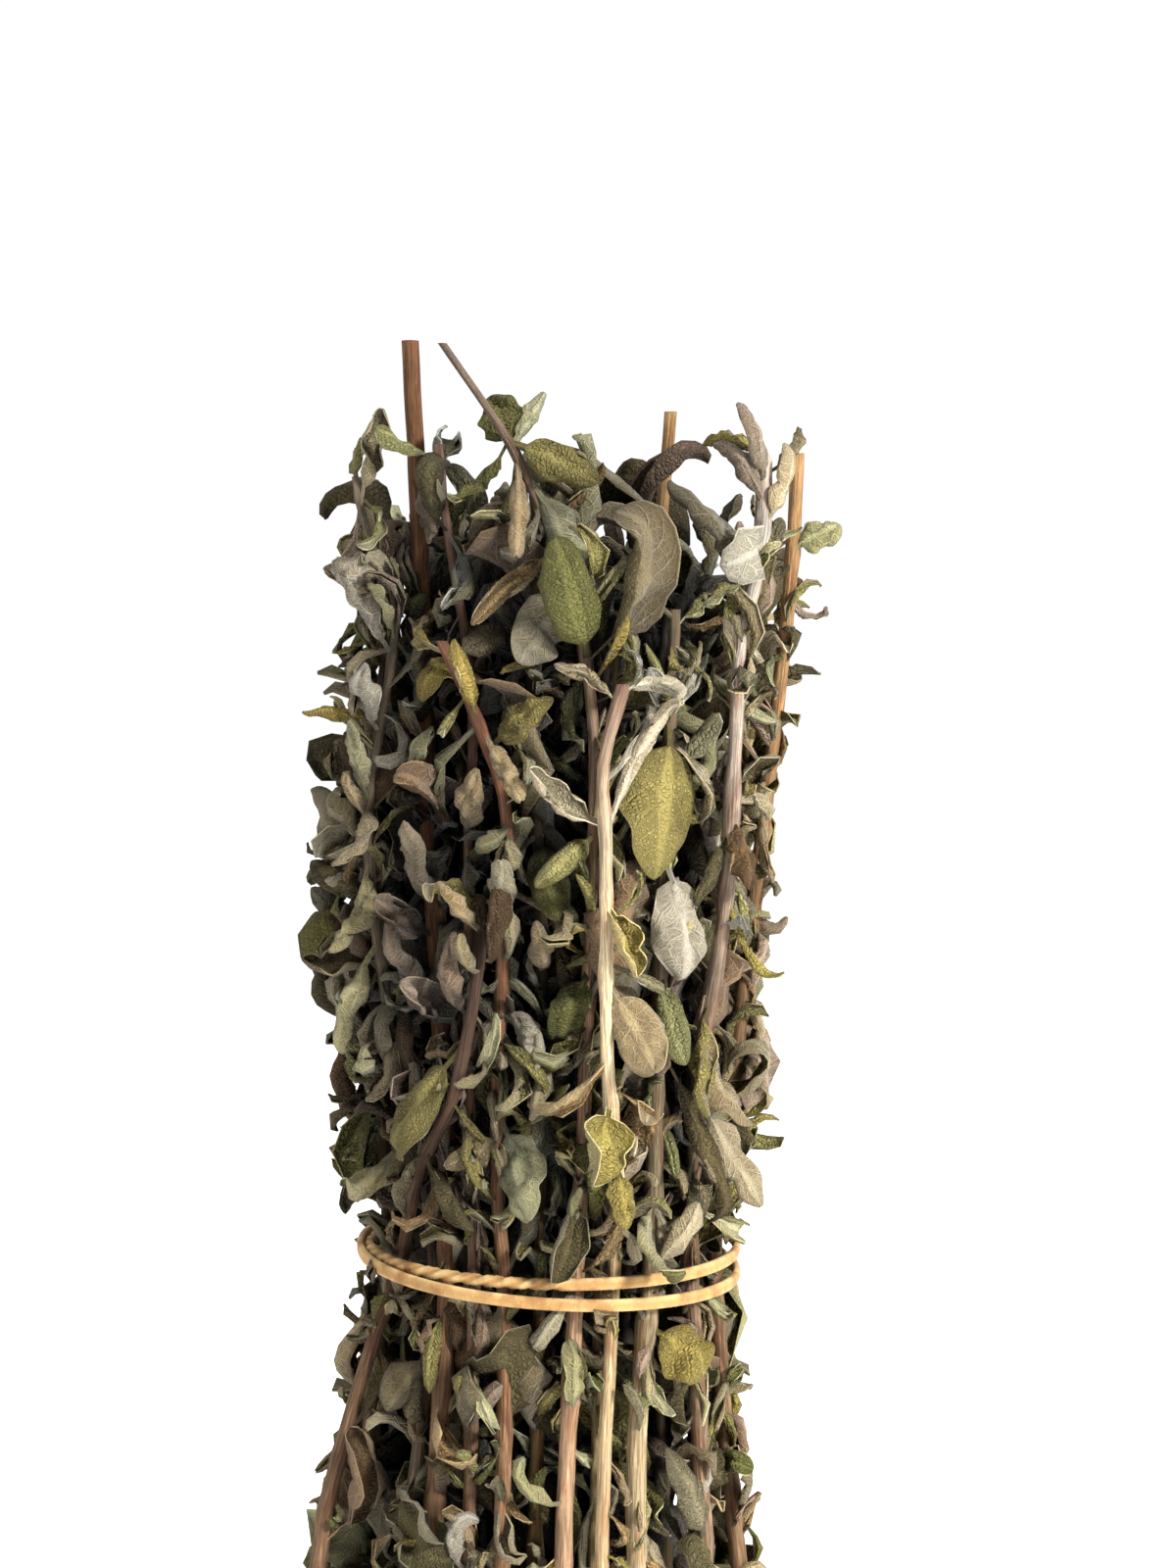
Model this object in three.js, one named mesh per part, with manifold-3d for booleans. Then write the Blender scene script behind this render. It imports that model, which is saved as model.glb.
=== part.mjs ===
// Dried sage bunch: leafy, square-cut sage stems stood together as a sheaf and gripped at the
// waist by one rubber band that goes round them twice. Millimetres, +Z up, the origin on the
// surface it stands on, under the middle of the waist, with the front towards -Y.
import * as THREE from "three";
import { mergeVertices } from "three/addons/utils/BufferGeometryUtils.js";
import Module from "manifold-3d";

const wasm = await Module();
wasm.setup();

// ---- Driving sizes ---------------------------------------------------------------------------
const BUNCH_HEIGHT = 299; // cut ends to the highest stem
const CROWN_HEIGHT = 283; // the highest leaves, but for those placed by hand
const WAIST_HEIGHT = 113.5; // the band's middle
const WAIST_RADIUS = 33.8; // bunch axis to the axes of the outer stems, under the band
const FOOT_SPREAD = 1.2; // how far the feet stand out, as a share of the waist
const CROWN_SPREAD = 1.17; // the same at the top
const CROWN_LEAN = 7; // how far the top leans to the right
const FOOT_LEAN = -3; // how far the feet stand to the left
const STEM_GAP = 0.7; // kept round a stem, beside what a leaf keeps
const LEAF_REACH = 1.45; // half of what two stems' leaves keep between their middle faces
const OWN_SHARE = 0.75; // the same between leaves of one stem, as a share
const BLADE_THICK = 1.2; // at the middle of a leaf
const UPWARD = 0.5; // how much a blade turns its upper face to the sky
const PETIOLE_SHARE = 0.2; // of a leaf's length
const PETIOLE_HALF = 0.8; // half the width of a leaf stalk
const FLOOR_GAP = 4; // leaves stay this far above the surface
const BAND = { radius: 38.3, wide: 2.5, thick: 1.7, apart: 5.0, over: 1.05, tilt: -1.6 };

// How far the leaves reach from the bunch's middle line, and where that line runs, by height.
const ENVELOPE = [
  // height, reach, middle x
  [0, 50, -4],
  [52, 48, -4],
  [87, 43, -2],
  [104, 42, 0],
  [122, 45, 0],
  [162, 50, -2],
  [192, 50, -3],
  [222, 49, -1],
  [242, 50, 3],
  [262, 51, 6],
  [300, 50, 8],
];

const COLOURS = {
  green: { color: 0x6b6a45, roughness: 0.92 },
  grey: { color: 0x85806c, roughness: 0.95 },
  brown: { color: 0x6a543c, roughness: 0.9 },
  pale: { color: 0xa89c80, roughness: 0.95 },
  rubber: { color: 0xc79a5b, roughness: 0.55 },
};

// ---- Draws and curves ------------------------------------------------------------------------
const DRAW_STEP = 16807; // the minimal standard generator
const DRAW_WRAP = 2147483647;

// Repeatable numbers from 0 to 1.
function draws(seed) {
  let state = (seed * 7919 + 104729) % DRAW_WRAP;
  const next = () => (state = (state * DRAW_STEP) % DRAW_WRAP) / DRAW_WRAP;
  for (let i = 0; i < 3; i++) next();
  return next;
}

const between = (draw, low, high) => low + (high - low) * draw();
const radians = THREE.MathUtils.degToRad;

// A smooth curve through rows of [height, value, ...], read at one height.
function along(rows, height, column) {
  const last = rows.length - 1;
  let i = 0;
  while (i < last - 1 && height > rows[i + 1][0]) i++;
  const slope = (k) => {
    const a = rows[Math.max(k - 1, 0)];
    const b = rows[Math.min(k + 1, last)];
    return (b[column] - a[column]) / (b[0] - a[0]);
  };
  const [low, high] = [rows[i], rows[i + 1]];
  const span = high[0] - low[0];
  const t = Math.min(Math.max((height - low[0]) / span, 0), 1);
  const t2 = t * t;
  const t3 = t2 * t;
  return (
    (2 * t3 - 3 * t2 + 1) * low[column] +
    (t3 - 2 * t2 + t) * span * slope(i) +
    (3 * t2 - 2 * t3) * high[column] +
    (t3 - t2) * span * slope(i + 1)
  );
}

// ---- Stems -----------------------------------------------------------------------------------
// The stems that show at the front, placed by hand. `path` runs up the middle of a stem in rows
// of [height, x, y], `radii` are those of its foot and its top, and `cut` stems end in a flat
// sawn face, the others in a tuft. `leaves` are the leaves that stand out, in rows of
// [height on the stem, [tip x, y, z], width, side shown, spin, roll, bend, twist]: the side is 1
// where the upper face looks outwards and -1 where the woolly underside does, and the last four
// are in degrees. Smaller leaves fill in between them by rule, from `bare` upwards.
const FRONT_STEMS = [
  {
    name: "stem_left_dark",
    colour: "brown",
    radii: [2.2, 1.3],
    path: [[0, -50, -21], [58, -46.5, -19], [97, -36.5, -15.5], [113.5, -30.5, -14.5],
      [135, -26.2, -25], [152, -19, -38], [173, -14.5, -38.5], [186, -13.5, -34.5]],
    leaves: [[163, [-36, -31, 137], 11, 1, 0, -120, -15, -10]],
  },
  {
    name: "stem_left_grey",
    colour: "grey",
    radii: [2.1, 0.8],
    path: [[0, -35, -28], [60, -28.5, -23.5], [113.5, -23.5, -18], [135, -26, -15.5],
      [160, -31.5, -18.5], [205, -36, -21.5], [235, -31.5, -21], [250, -31, -20],
      [262, -36.5, -18], [272, -38.5, -17]],
    leaves: [
      [197, [-41.5, -28, 178], 9, -1, 0, 230, -15, 20],
      [180, [-46, -23, 158], 11, -1, 0, 220, 15, -15],
      [266, [-32.5, -17, 285], 8, -1, 0, 160, 15, 120],
      [255, [-45, -22, 253], 12, -1, 20, 200, 120, 0],
      [237, [-42, -26, 251], 8, -1, 0, 170, -20, 0],
      [240, [-33.5, -28, 252], 7, 1, 0, 150, 15, 0],
      [222, [-39, -29, 235], 10, -1, 0, 150, 20, 20],
      [225, [-49, -22, 226], 5, 1, 0, -160, -15, 0],
      [200, [-47, -21, 210], 8, -1, 0, 160, 20, 0],
      [208, [-39.5, -30, 224], 8, -1, 0, 170, 15, 0],
      [209, [-40, -31, 195], 7, -1, 0, 220, -20, 20],
      [188, [-50.5, -17, 197], 9, 1, 0, -90, -20, 0],
      [177, [-50, -16, 174], 8, 1, 0, 150, 20, 30],
      [141, [-42, -20, 126], 9, -1, 0, 200, -20, 15],
    ],
  },
  {
    name: "stem_left_cut",
    colour: "brown",
    radii: [2.3, 2],
    cut: true,
    path: [[0, -27, -35], [113.5, -20.5, -26.5], [135, -20.5, -24], [165, -21.5, -22],
      [200, -24, -18], [258, -26, -13], [299, -27.8, -12]],
    leaves: [
      [187, [-27, -36, 206], 10, -1, 0, 200, 50, 0],
      [181, [-34, -33, 190], 9, 1, 0, -60, -30, 20],
      [168, [-34, -31, 184], 8, -1, 0, 160, 40, 0],
      [165, [-30, -37, 174], 10, 1, 0, -70, 25, 0],
      [210, [-28, -34, 222], 9, -1, 0, 160, 30, 60],
      [272, [-25, -24, 259], 8, -1, 0, 200, -20, 40],
    ],
  },
  {
    name: "stem_left_thin",
    colour: "grey",
    radii: [1.7, 1],
    path: [[0, -18, -41.5], [113.5, -15.2, -30.2], [150, -16, -29.5], [200, -16, -28],
      [228, -15.2, -26], [250, -18.2, -25], [265, -20.7, -24], [278, -21.9, -24]],
    leaves: [
      [167, [-22, -41, 184], 7, -1, 0, 150, 60, 20],
      [202, [-16, -41, 214], 7, -1, 0, 90, 20, 0],
      [237, [-27, -36, 231], 8.5, 1, 0, -40, -25, 0],
    ],
  },
  {
    name: "stem_front_left",
    colour: "green",
    radii: [2.1, 1.2],
    path: [[0, -11, -44], [65, -9.6, -37.5], [113.5, -9.2, -32.5], [135, -10.5, -33],
      [190, -9, -34.5], [207, -8.5, -36], [225, -14.2, -36], [240, -21, -35]],
    leaves: [
      [204, [-13, -46, 179], 10, 1, 0, -220, -15, -20],
      [186, [-9.5, -45, 199], 7, -1, 0, 120, 25, 0],
      [170, [-4, -44, 159], 8, -1, 0, 160, -60, 0],
      [222, [-6, -46, 210], 7, -1, 0, 160, -15, 15],
      [219, [-1, -43, 231], 10, 1, 0, -60, -20, 15],
      [148, [-6, -46, 130], 12, -1, 0, 100, -50, 20],
    ],
  },
  {
    name: "stem_front_ochre",
    colour: "green",
    radii: [1.8, 1.1],
    path: [[0, -4.5, -37], [113.5, -2.3, -28.6], [180, -2, -30], [235, -4, -29]],
    leaves: [
      [203, [1.5, -41, 187], 10, 1, 0, -60, -15, 10],
      [176, [-2, -43, 185], 7, -1, 20, 160, 60, 0],
    ],
  },
  {
    name: "stem_front_long",
    colour: "green",
    radii: [2.3, 1],
    cut: true,
    path: [[0, 1.5, -43.5], [64.6, 2.4, -38.5], [113.5, 4.9, -33.3], [150, 6.5, -34.5],
      [200, 8.3, -35], [224, 8.1, -35], [248, 4.5, -34.5], [267, -2.7, -34],
      [279, -8.5, -33], [297, -20.8, -31]],
    leaves: [
      [251, [-5, -42, 236], 12, -1, 0, 50, -20, 0],
      [257, [-15, -40, 243], 6, 1, 0, -150, -70, 0],
      [271, [7.5, -44, 251], 9, -1, 0, 170, -25, 0],
      [275, [-6.5, -44, 256], 7, -1, 0, 200, -20, 10],
      [276, [-12, -24, 288], 10, 1, 0, -60, -20, 0],
      [278, [9, -37, 270], 11, 1, 0, -110, -60, 0],
      [277, [-1, -27, 288], 5, -1, 0, 160, 20, 0],
      [177, [1, -43, 162], 10, 1, 0, -80, -30, 0],
      [131, [1, -44, 117], 9, 1, 0, 100, -30, 40],
    ],
  },
  {
    name: "stem_front_pale",
    colour: "pale",
    radii: [1.7, 1.4],
    path: [[0, 8.4, -46], [77, 10.2, -38.5], [113.5, 12.2, -31.5], [135, 12.8, -37],
      [160, 10.8, -44], [202, 10.4, -45.5], [217, 10, -45], [232, 13.8, -45]],
    leaves: [
      [231, [27, -43, 230], 6, -1, 0, 260, -110, 0],
      [204, [23, -44, 233], 6, -1, 0, 280, -15, 20],
      [190, [16, -47, 177], 8, 1, 0, 200, -60, 0],
      [176, [21, -48, 157], 11, -1, 0, 90, -15, 15],
      [152, [8, -49, 137], 13, 1, 0, 120, -20, 50],
      [139, [15.5, -45, 127], 8, 1, 0, -100, -20, 0],
    ],
  },
  {
    name: "stem_front_thin",
    colour: "green",
    radii: [1.3, 0.9],
    path: [[0, 6, -36], [80, 8.8, -32.5], [113.5, 9, -27], [170, 9.5, -27.5],
      [240, 13, -33]],
    leaves: [],
  },
  {
    name: "stem_front_thick",
    colour: "grey",
    radii: [2.9, 1.1],
    path: [[0, 18.2, -43.5], [62, 16.6, -38], [88, 17, -34], [113.5, 19.5, -27.5],
      [150, 20.5, -30], [200, 22, -32], [246, 24, -34]],
    leaves: [
      [226, [20, -39.5, 194], 19, 1, 0, -50, -20, 10],
      [198, [28.5, -42, 175], 14, -1, 0, 40, 15, 0],
      [161, [40, -30.5, 122], 10, 1, 0, -220, -15, 10],
      [131, [21.5, -44.5, 114.5], 8, -1, 0, 60, -45, 0],
      [105, [34, -33, 96], 14, 1, 0, -50, -20, 0],
    ],
  },
  {
    name: "stem_right_woolly",
    colour: "grey",
    radii: [2.1, 1.5],
    path: [[0, 33, -31], [57, 30.5, -24.5], [85, 29.5, -20.5], [113.5, 28, -18.5],
      [135, 28.5, -20.5], [160, 30.1, -25], [187, 33.9, -29], [221, 36, -28],
      [237, 36.8, -27], [258, 41, -25], [276, 41.8, -24]],
    leaves: [
      [157, [35.5, -26, 163.5], 8, 1, -113, 30, 280, 0],
      [164, [38.5, -34, 145], 10, -1, 0, 120, -50, 0],
      [149, [43, -21, 127], 11, -1, 0, 90, -20, 0],
      [206, [39, -36, 192], 9, 1, 0, -150, -30, 0],
      [192, [42, -32, 171], 6, 1, 0, -250, 15, 0],
      [203, [28, -38, 189], 7, 1, 0, -200, -15, 0],
      [266, [34, -29, 281], 6, -1, 0, 150, 20, 30],
      [270, [39, -33, 286], 6, -1, 0, 130, 15, 0],
      [262, [49, -26, 278], 7, -1, 0, 150, 20, 0],
    ],
  },
  {
    name: "stem_right_cut",
    colour: "brown",
    radii: [2.1, 1.6],
    cut: true,
    path: [[0, 43.5, -9], [113.5, 33.4, -4.5], [150, 37, -8], [190, 41.5, -9],
      [220, 45, -8], [255, 48.5, -8], [277, 49.5, -8]],
    leaves: [[258, [58, -11, 263], 8, 1, 0, 120, 30, 40]],
  },
  {
    name: "stem_crown_cut",
    colour: "brown",
    radii: [2, 1.5],
    cut: true,
    path: [[0, 18, 6], [113.5, 16, 4], [200, 20, 5], [261, 22.6, 5], [286, 24.6, 5]],
    leaves: [],
  },
];

// The rest stand in rings, the outer one only where the front stems leave it free.
const RINGS = [
  { name: "stem_back", count: 10, radius: WAIST_RADIUS, from: 102, to: 274.8, bare: 26 },
  { name: "stem_middle", count: 12, radius: 22.4, from: 12, to: 342, bare: 190 },
  { name: "stem_inner", count: 6, radius: 11.2, from: 0, to: 300, bare: 210 },
];
const CENTRE_STEM = {
  name: "stem_centre",
  colour: "brown",
  radii: [2.3, 1.1],
  path: [[0, 0, 0], [113.5, 0, 0], [190, 1, 0.5], [258, 5.5, 0]],
  bare: 215,
  leaves: [],
};
const RING_COLOURS = ["green", "grey", "green", "brown", "grey", "green", "pale"];
const STEM_SIDES = 4; // sage has a square stem
const LONG_STRETCH = 60; // a stem turns at least this often
const OUTER_BARE = 24; // height of the lowest leaves on an outer stem
const SWAY = 0.9; // how far a ring stem strays from its place
const TIPS = [228, 268]; // heights of the ring stems' tips

function ringStems() {
  const stems = [];
  RINGS.forEach((ring, level) => {
    const turn = (ring.to - ring.from) / (ring.count - 1);
    for (let k = 0; k < ring.count; k++) {
      const draw = draws(1000 + 100 * level + k);
      const azimuth = radians(ring.from + turn * k);
      const height = between(draw, ...TIPS);
      const place = (at, spread, lean) => [
        at,
        ring.radius * spread * Math.sin(azimuth) + lean + between(draw, -SWAY, SWAY),
        -ring.radius * spread * Math.cos(azimuth) + between(draw, -SWAY, SWAY),
      ];
      const grip = place(WAIST_HEIGHT, 1, 0);
      grip[1] = ring.radius * Math.sin(azimuth);
      grip[2] = -ring.radius * Math.cos(azimuth);
      stems.push({
        name: ring.name + "_" + String(k + 1).padStart(2, "0"),
        colour: RING_COLOURS[(k + 3 * level) % RING_COLOURS.length],
        radii: [between(draw, 1.7, 2.3), between(draw, 0.9, 1.2)],
        bare: ring.bare,
        leaves: [],
        path: [
          place(0, FOOT_SPREAD, FOOT_LEAN),
          place(60, 1.12, FOOT_LEAN / 2),
          grip,
          place(170, 1.06, 0),
          place(height, CROWN_SPREAD, (CROWN_LEAN * height) / BUNCH_HEIGHT),
        ],
      });
    }
  });
  return stems;
}

const stemTop = (stem) => stem.path[stem.path.length - 1][0];
const stemAt = (stem, height) =>
  new THREE.Vector3(along(stem.path, height, 1), along(stem.path, height, 2), height);
const stemRadius = (stem, height) =>
  stem.radii[0] + ((stem.radii[1] - stem.radii[0]) * height) / stemTop(stem);

// The heights where a stem's facets meet: its stations, and between those that are far apart.
function levels({ path }) {
  const heights = path.map(([height]) => height);
  const middles = heights.slice(1).map((height, i) => (height + heights[i]) / 2);
  const far = middles.filter((_, i) => heights[i + 1] - heights[i] > LONG_STRETCH);
  return [...heights, ...far].sort((a, b) => a - b);
}

// A tapered cylinder, bent along the stem's path.
function stemSolid(stem) {
  const heights = levels(stem);
  const steps = heights.length - 1;
  const shape = new THREE.CylinderGeometry(1, 1, steps, STEM_SIDES, steps);
  return solid(shape, (p) => {
    const height = heights[Math.round(p.y + steps / 2)];
    const radius = stemRadius(stem, height);
    return stemAt(stem, height).add(new THREE.Vector3(radius * p.x, -radius * p.z, 0));
  });
}

// ---- Leaves ----------------------------------------------------------------------------------
// A leaf is a flat outline that is rolled across, bent along and twisted. `chord` runs from its
// root to its tip. Its frame has `out` along the stalk where it leaves the stem, `face` square
// to the blade on the upper side and `side` across it.
function makeLeaf(stem, height, chord, form) {
  const root = stemAt(stem, height);
  const line = chord.clone().normalize();
  const face = new THREE.Vector3(root.x, root.y, 0).normalize().multiplyScalar(form.shows);
  face.z += UPWARD;
  face.addScaledVector(line, -face.dot(line)).normalize();
  face.applyAxisAngle(line, form.spin);
  const half = form.bend / 2;
  const out = line.clone().multiplyScalar(Math.cos(half)).addScaledVector(face, -Math.sin(half));
  face.multiplyScalar(Math.cos(half)).addScaledVector(line, Math.sin(half));
  const side = new THREE.Vector3().crossVectors(out, face);
  const length = (chord.length() * half) / Math.sin(half);
  return { ...form, root, out, face, side, length };
}

// A leaf that was placed by hand, from its row.
function handLeaf(stem, [height, tip, width, shows, ...turns]) {
  const chord = new THREE.Vector3(...tip).sub(stemAt(stem, height));
  const [spin, roll, bend, twist] = turns.map(radians);
  return makeLeaf(stem, height, chord, { width, shows, spin, roll, bend, twist });
}

// Half the width of the outline at a share of the length, as a share of the leaf's half width.
function outline(share) {
  if (share <= PETIOLE_SHARE) return 0;
  const blade = (share - PETIOLE_SHARE) / (1 - PETIOLE_SHARE);
  return Math.sin(Math.PI * blade ** 0.8) ** 0.7;
}

// The point of a leaf at a share of its length, across from -1 to 1, lifted off its middle face.
function leafPoint(leaf, share, across, lift) {
  const turn = leaf.bend * share;
  const reach = (leaf.length * Math.sin(turn)) / leaf.bend;
  const rise = (leaf.length * (1 - Math.cos(turn))) / leaf.bend;
  const half = share < 1 ? Math.max((leaf.width / 2) * outline(share), PETIOLE_HALF) : 0;
  const curl = half / (leaf.roll / 2);
  const fan = (leaf.roll / 2) * across;
  const wide = (curl - lift) * Math.sin(fan);
  const deep = curl - (curl - lift) * Math.cos(fan);
  const twist = leaf.twist * share;
  const x = wide * Math.cos(twist) - deep * Math.sin(twist);
  const z = wide * Math.sin(twist) + deep * Math.cos(twist);
  return leaf.root
    .clone()
    .addScaledVector(leaf.out, reach - z * Math.sin(turn))
    .addScaledVector(leaf.face, rise + z * Math.cos(turn))
    .addScaledVector(leaf.side, x);
}

const ROOT_SHARE = -0.04; // a stalk starts beyond the stem's middle

// The facets of a leaf up to each width: the shares of its length where they meet, and how many
// lie across.
const FACETS = [
  { upTo: 7, rows: [ROOT_SHARE, 0.55, 1], columns: 2 },
  { upTo: 12.5, rows: [ROOT_SHARE, 0.42, 0.74, 1], columns: 2 },
  { upTo: 16, rows: [ROOT_SHARE, 0.34, 0.56, 0.8, 1], columns: 2 },
  { upTo: Infinity, rows: [ROOT_SHARE, 0.34, 0.56, 0.8, 1], columns: 3 },
];
const LOWER_FACE = 3; // a box's groups are +x, -x, +y, -y, +z, -z

// Splits the squares of a box's lower face along the same diagonals as those of its upper face,
// so that the two faces of a thin twisted blade don't cross.
function splitAlike(box) {
  const { start, count } = box.groups[LOWER_FACE];
  for (let i = start; i < start + count; i += 6) {
    const [a, b, d, , c] = box.index.array.slice(i, i + 6);
    box.index.array.set([a, b, c, a, c, d], i);
  }
  return box;
}

// A blade: a box whose two faces meet along the margins, at the tip and at the root.
function leafSolid(leaf) {
  const { rows, columns } = FACETS.find(({ upTo }) => leaf.width <= upTo);
  const last = rows.length - 1;
  const box = new THREE.BoxGeometry(2, BLADE_THICK, last, columns, 1, last);
  return solid(splitAlike(box), (p) => {
    const row = Math.round(p.z + last / 2);
    const end = row === 0 || row === last;
    const edge = end || Math.abs(p.x) > 0.99;
    return leafPoint(leaf, rows[row], end ? 0 : -p.x, edge ? 0 : p.y);
  });
}

const SAMPLE_STEP = 2.6; // along a leaf
const SAMPLE_WIDE = 4.5; // across it
const STEM_STEP = 3; // along a stem
const BAND_SAMPLES = 240; // round both turns of the band
const STALK_FREE = 0.12; // the share of a leaf that is in and at its stem
const BLADE_FROM = 0.3; // the share where it is clear of its own stem

// Points over a leaf with the room that each one keeps. Those on its stalk are `near` its stem.
function leafSamples(leaf, owner) {
  const columns = 2 * Math.ceil(leaf.width / 2 / SAMPLE_WIDE);
  const rows = Math.ceil(leaf.length / SAMPLE_STEP);
  const points = [];
  for (let i = Math.ceil(rows * STALK_FREE); i <= rows; i++) {
    for (let j = 0; j <= columns; j++) {
      const p = leafPoint(leaf, i / rows, (2 * j) / columns - 1, 0);
      points.push({ p, room: LEAF_REACH, owner, near: i / rows < BLADE_FROM });
    }
  }
  return points;
}

function stemSamples(stem, owner) {
  const points = [];
  for (let height = 0; height <= stemTop(stem); height += STEM_STEP) {
    points.push({ p: stemAt(stem, height), room: stemRadius(stem, height) + STEM_GAP, owner });
  }
  return points;
}

// ---- The rubber band -------------------------------------------------------------------------
// Its middle line after a share of its two turns: the strands are apart at the right and cross
// at the left, one over the other.
function bandLine(share) {
  const turned = share * 4 * Math.PI;
  const azimuth = turned + Math.PI / 2;
  const radius = BAND.radius + BAND.over * Math.sin(turned / 2);
  return new THREE.Vector3(
    radius * Math.sin(azimuth),
    -radius * Math.cos(azimuth),
    WAIST_HEIGHT + (BAND.apart / 2) * Math.cos(turned / 2) + BAND.tilt * Math.sin(azimuth),
  );
}

const BAND_STEPS = 76;

function bandSolid() {
  const shape = new THREE.TorusGeometry(1, 0.5, 4, BAND_STEPS);
  return solid(shape, (p, uv) => {
    const centre = bandLine(uv.x);
    const outward = new THREE.Vector3(centre.x, centre.y, 0).normalize();
    const corner = 2 * Math.PI * uv.y + Math.PI / 4;
    return centre
      .addScaledVector(outward, Math.SQRT1_2 * BAND.thick * Math.cos(corner))
      .add(new THREE.Vector3(0, 0, Math.SQRT1_2 * BAND.wide * Math.sin(corner)));
  });
}

function bandSamples() {
  return Array.from({ length: BAND_SAMPLES }, (_, i) => ({
    p: bandLine(i / BAND_SAMPLES),
    room: BAND.wide / 2 + STEM_GAP,
  }));
}

// ---- Solids and meshes -----------------------------------------------------------------------
const GRID = 0.01; // vertices are put on a grid this fine, and welded where they meet

// A geometry's positions and triangles, with each vertex once. Triangles that the weld makes
// into a line or lays back to back on each other are left out.
function welded(geometry) {
  const { position } = geometry.attributes;
  position.array.forEach((value, i) => (position.array[i] = Math.round(value / GRID) * GRID));
  const bare = new THREE.BufferGeometry().setIndex(geometry.index);
  bare.setAttribute("position", position);
  const merged = mergeVertices(bare, GRID / 2);
  const corners = merged.index.array;
  const faces = new Map();
  for (let i = 0; i < corners.length; i += 3) {
    const face = [...corners.subarray(i, i + 3)];
    const key = [...face].sort((a, b) => a - b).join();
    if (new Set(face).size === 3 && !faces.delete(key)) faces.set(key, face);
  }
  return { positions: merged.attributes.position.array, triangles: [...faces.values()].flat() };
}

// A closed solid: a geometry with its vertices put where `place` says.
function solid(geometry, place) {
  const { position, uv } = geometry.attributes;
  const p = new THREE.Vector3();
  const at = new THREE.Vector2();
  for (let i = 0; i < position.count; i++) {
    const q = place(p.fromBufferAttribute(position, i), at.fromBufferAttribute(uv, i));
    position.setXYZ(i, q.x, q.y, q.z);
  }
  const { positions, triangles } = welded(geometry);
  return new wasm.Manifold(
    new wasm.Mesh({
      numProp: 3,
      vertProperties: positions,
      triVerts: new Uint32Array(triangles),
    }),
  );
}

// Solids as one body, without any loose scrap.
function joined(solids) {
  const bodies = wasm.Manifold.union(solids).decompose();
  return bodies.reduce((a, b) => (a.volume() > b.volume() ? a : b));
}

function meshOf(made, name, colour) {
  const { vertProperties, triVerts } = made.getMesh();
  const raw = new THREE.BufferGeometry();
  raw.setAttribute("position", new THREE.BufferAttribute(vertProperties, 3));
  raw.setIndex(new THREE.BufferAttribute(triVerts, 1));
  const { positions, triangles } = welded(raw);
  const geometry = new THREE.BufferGeometry();
  geometry.setAttribute("position", new THREE.BufferAttribute(positions, 3));
  geometry.setIndex(triangles);
  geometry.computeVertexNormals();
  const material = new THREE.MeshStandardMaterial({ ...COLOURS[colour], metalness: 0 });
  const mesh = new THREE.Mesh(geometry, material);
  mesh.name = name;
  return mesh;
}

// ---- Growing the leaves ----------------------------------------------------------------------
const TRIES = 60;
const SHRINK = 0.5; // the share of its length that a leaf loses by its last try
const NODE_GAP = [32, 43]; // between one pair of leaves and the next
const TOP_FREE = 9; // no pair so close under a stem's top
const PAIR_TURN = [0.35, 1.25]; // how far a pair's leaves turn from straight outwards, in radians
const TUFT = { leaves: 2, below: 2, gap: 2 }; // on each tip that isn't cut
const LOW = { leaves: 3, height: [30, 98] }; // the most that each outer stem gets besides

// What a drawn leaf may be, in millimetres, degrees and shares of all leaves.
const PAIRED = { length: [27, 40], drooping: 0.4 };
const TUFTED = { length: [13, 22], drooping: 0.1 };
const ANY = { slim: [0.44, 0.62], stray: 75, spin: 55, roll: [50, 230], bend: [12, 100], twist: 60 };
const RISING = { rise: [20, 82], upperSideOut: 0.35 };
const DROOPING = { rise: [-80, -5], upperSideOut: 0.7 };
const ROLLED_UNDER = 0.7; // the share of leaves whose woolly side is the hollow one

function inEnvelope(p) {
  const reach = along(ENVELOPE, p.z, 1);
  const middle = along(ENVELOPE, p.z, 2);
  return p.z > FLOOR_GAP && p.z < CROWN_HEIGHT && Math.hypot(p.x - middle, p.y) < reach;
}

function isClear(points, placed) {
  return points.every(({ p, room, owner, near }) =>
    placed.every((other) => {
      const own = other.owner === owner;
      const gap = (room + other.room) * (own ? OWN_SHARE : 1);
      return (own && near) || p.distanceToSquared(other.p) >= gap * gap;
    }),
  );
}

// A drawn leaf that leaves its stem about the azimuth `heading`.
function drawLeaf(draw, stem, height, heading, kind, shrink) {
  const length = between(draw, ...kind.length) * shrink;
  const width = length * between(draw, ...ANY.slim);
  const { rise, upperSideOut } = draw() < kind.drooping ? DROOPING : RISING;
  const azimuth = heading + radians(between(draw, -ANY.stray, ANY.stray));
  const climb = radians(between(draw, ...rise));
  const chord = new THREE.Vector3(
    length * Math.cos(climb) * Math.sin(azimuth),
    -length * Math.cos(climb) * Math.cos(azimuth),
    length * Math.sin(climb),
  );
  const shows = draw() < upperSideOut ? 1 : -1;
  const convex = draw() < ROLLED_UNDER ? 1 : -1;
  return makeLeaf(stem, height, chord, {
    width,
    shows,
    spin: radians(between(draw, -ANY.spin, ANY.spin)),
    roll: -shows * convex * radians(between(draw, ...ANY.roll)),
    bend: radians(between(draw, ...ANY.bend)) * (draw() < 0.5 ? 1 : -1),
    twist: radians(between(draw, -ANY.twist, ANY.twist)),
  });
}

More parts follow.
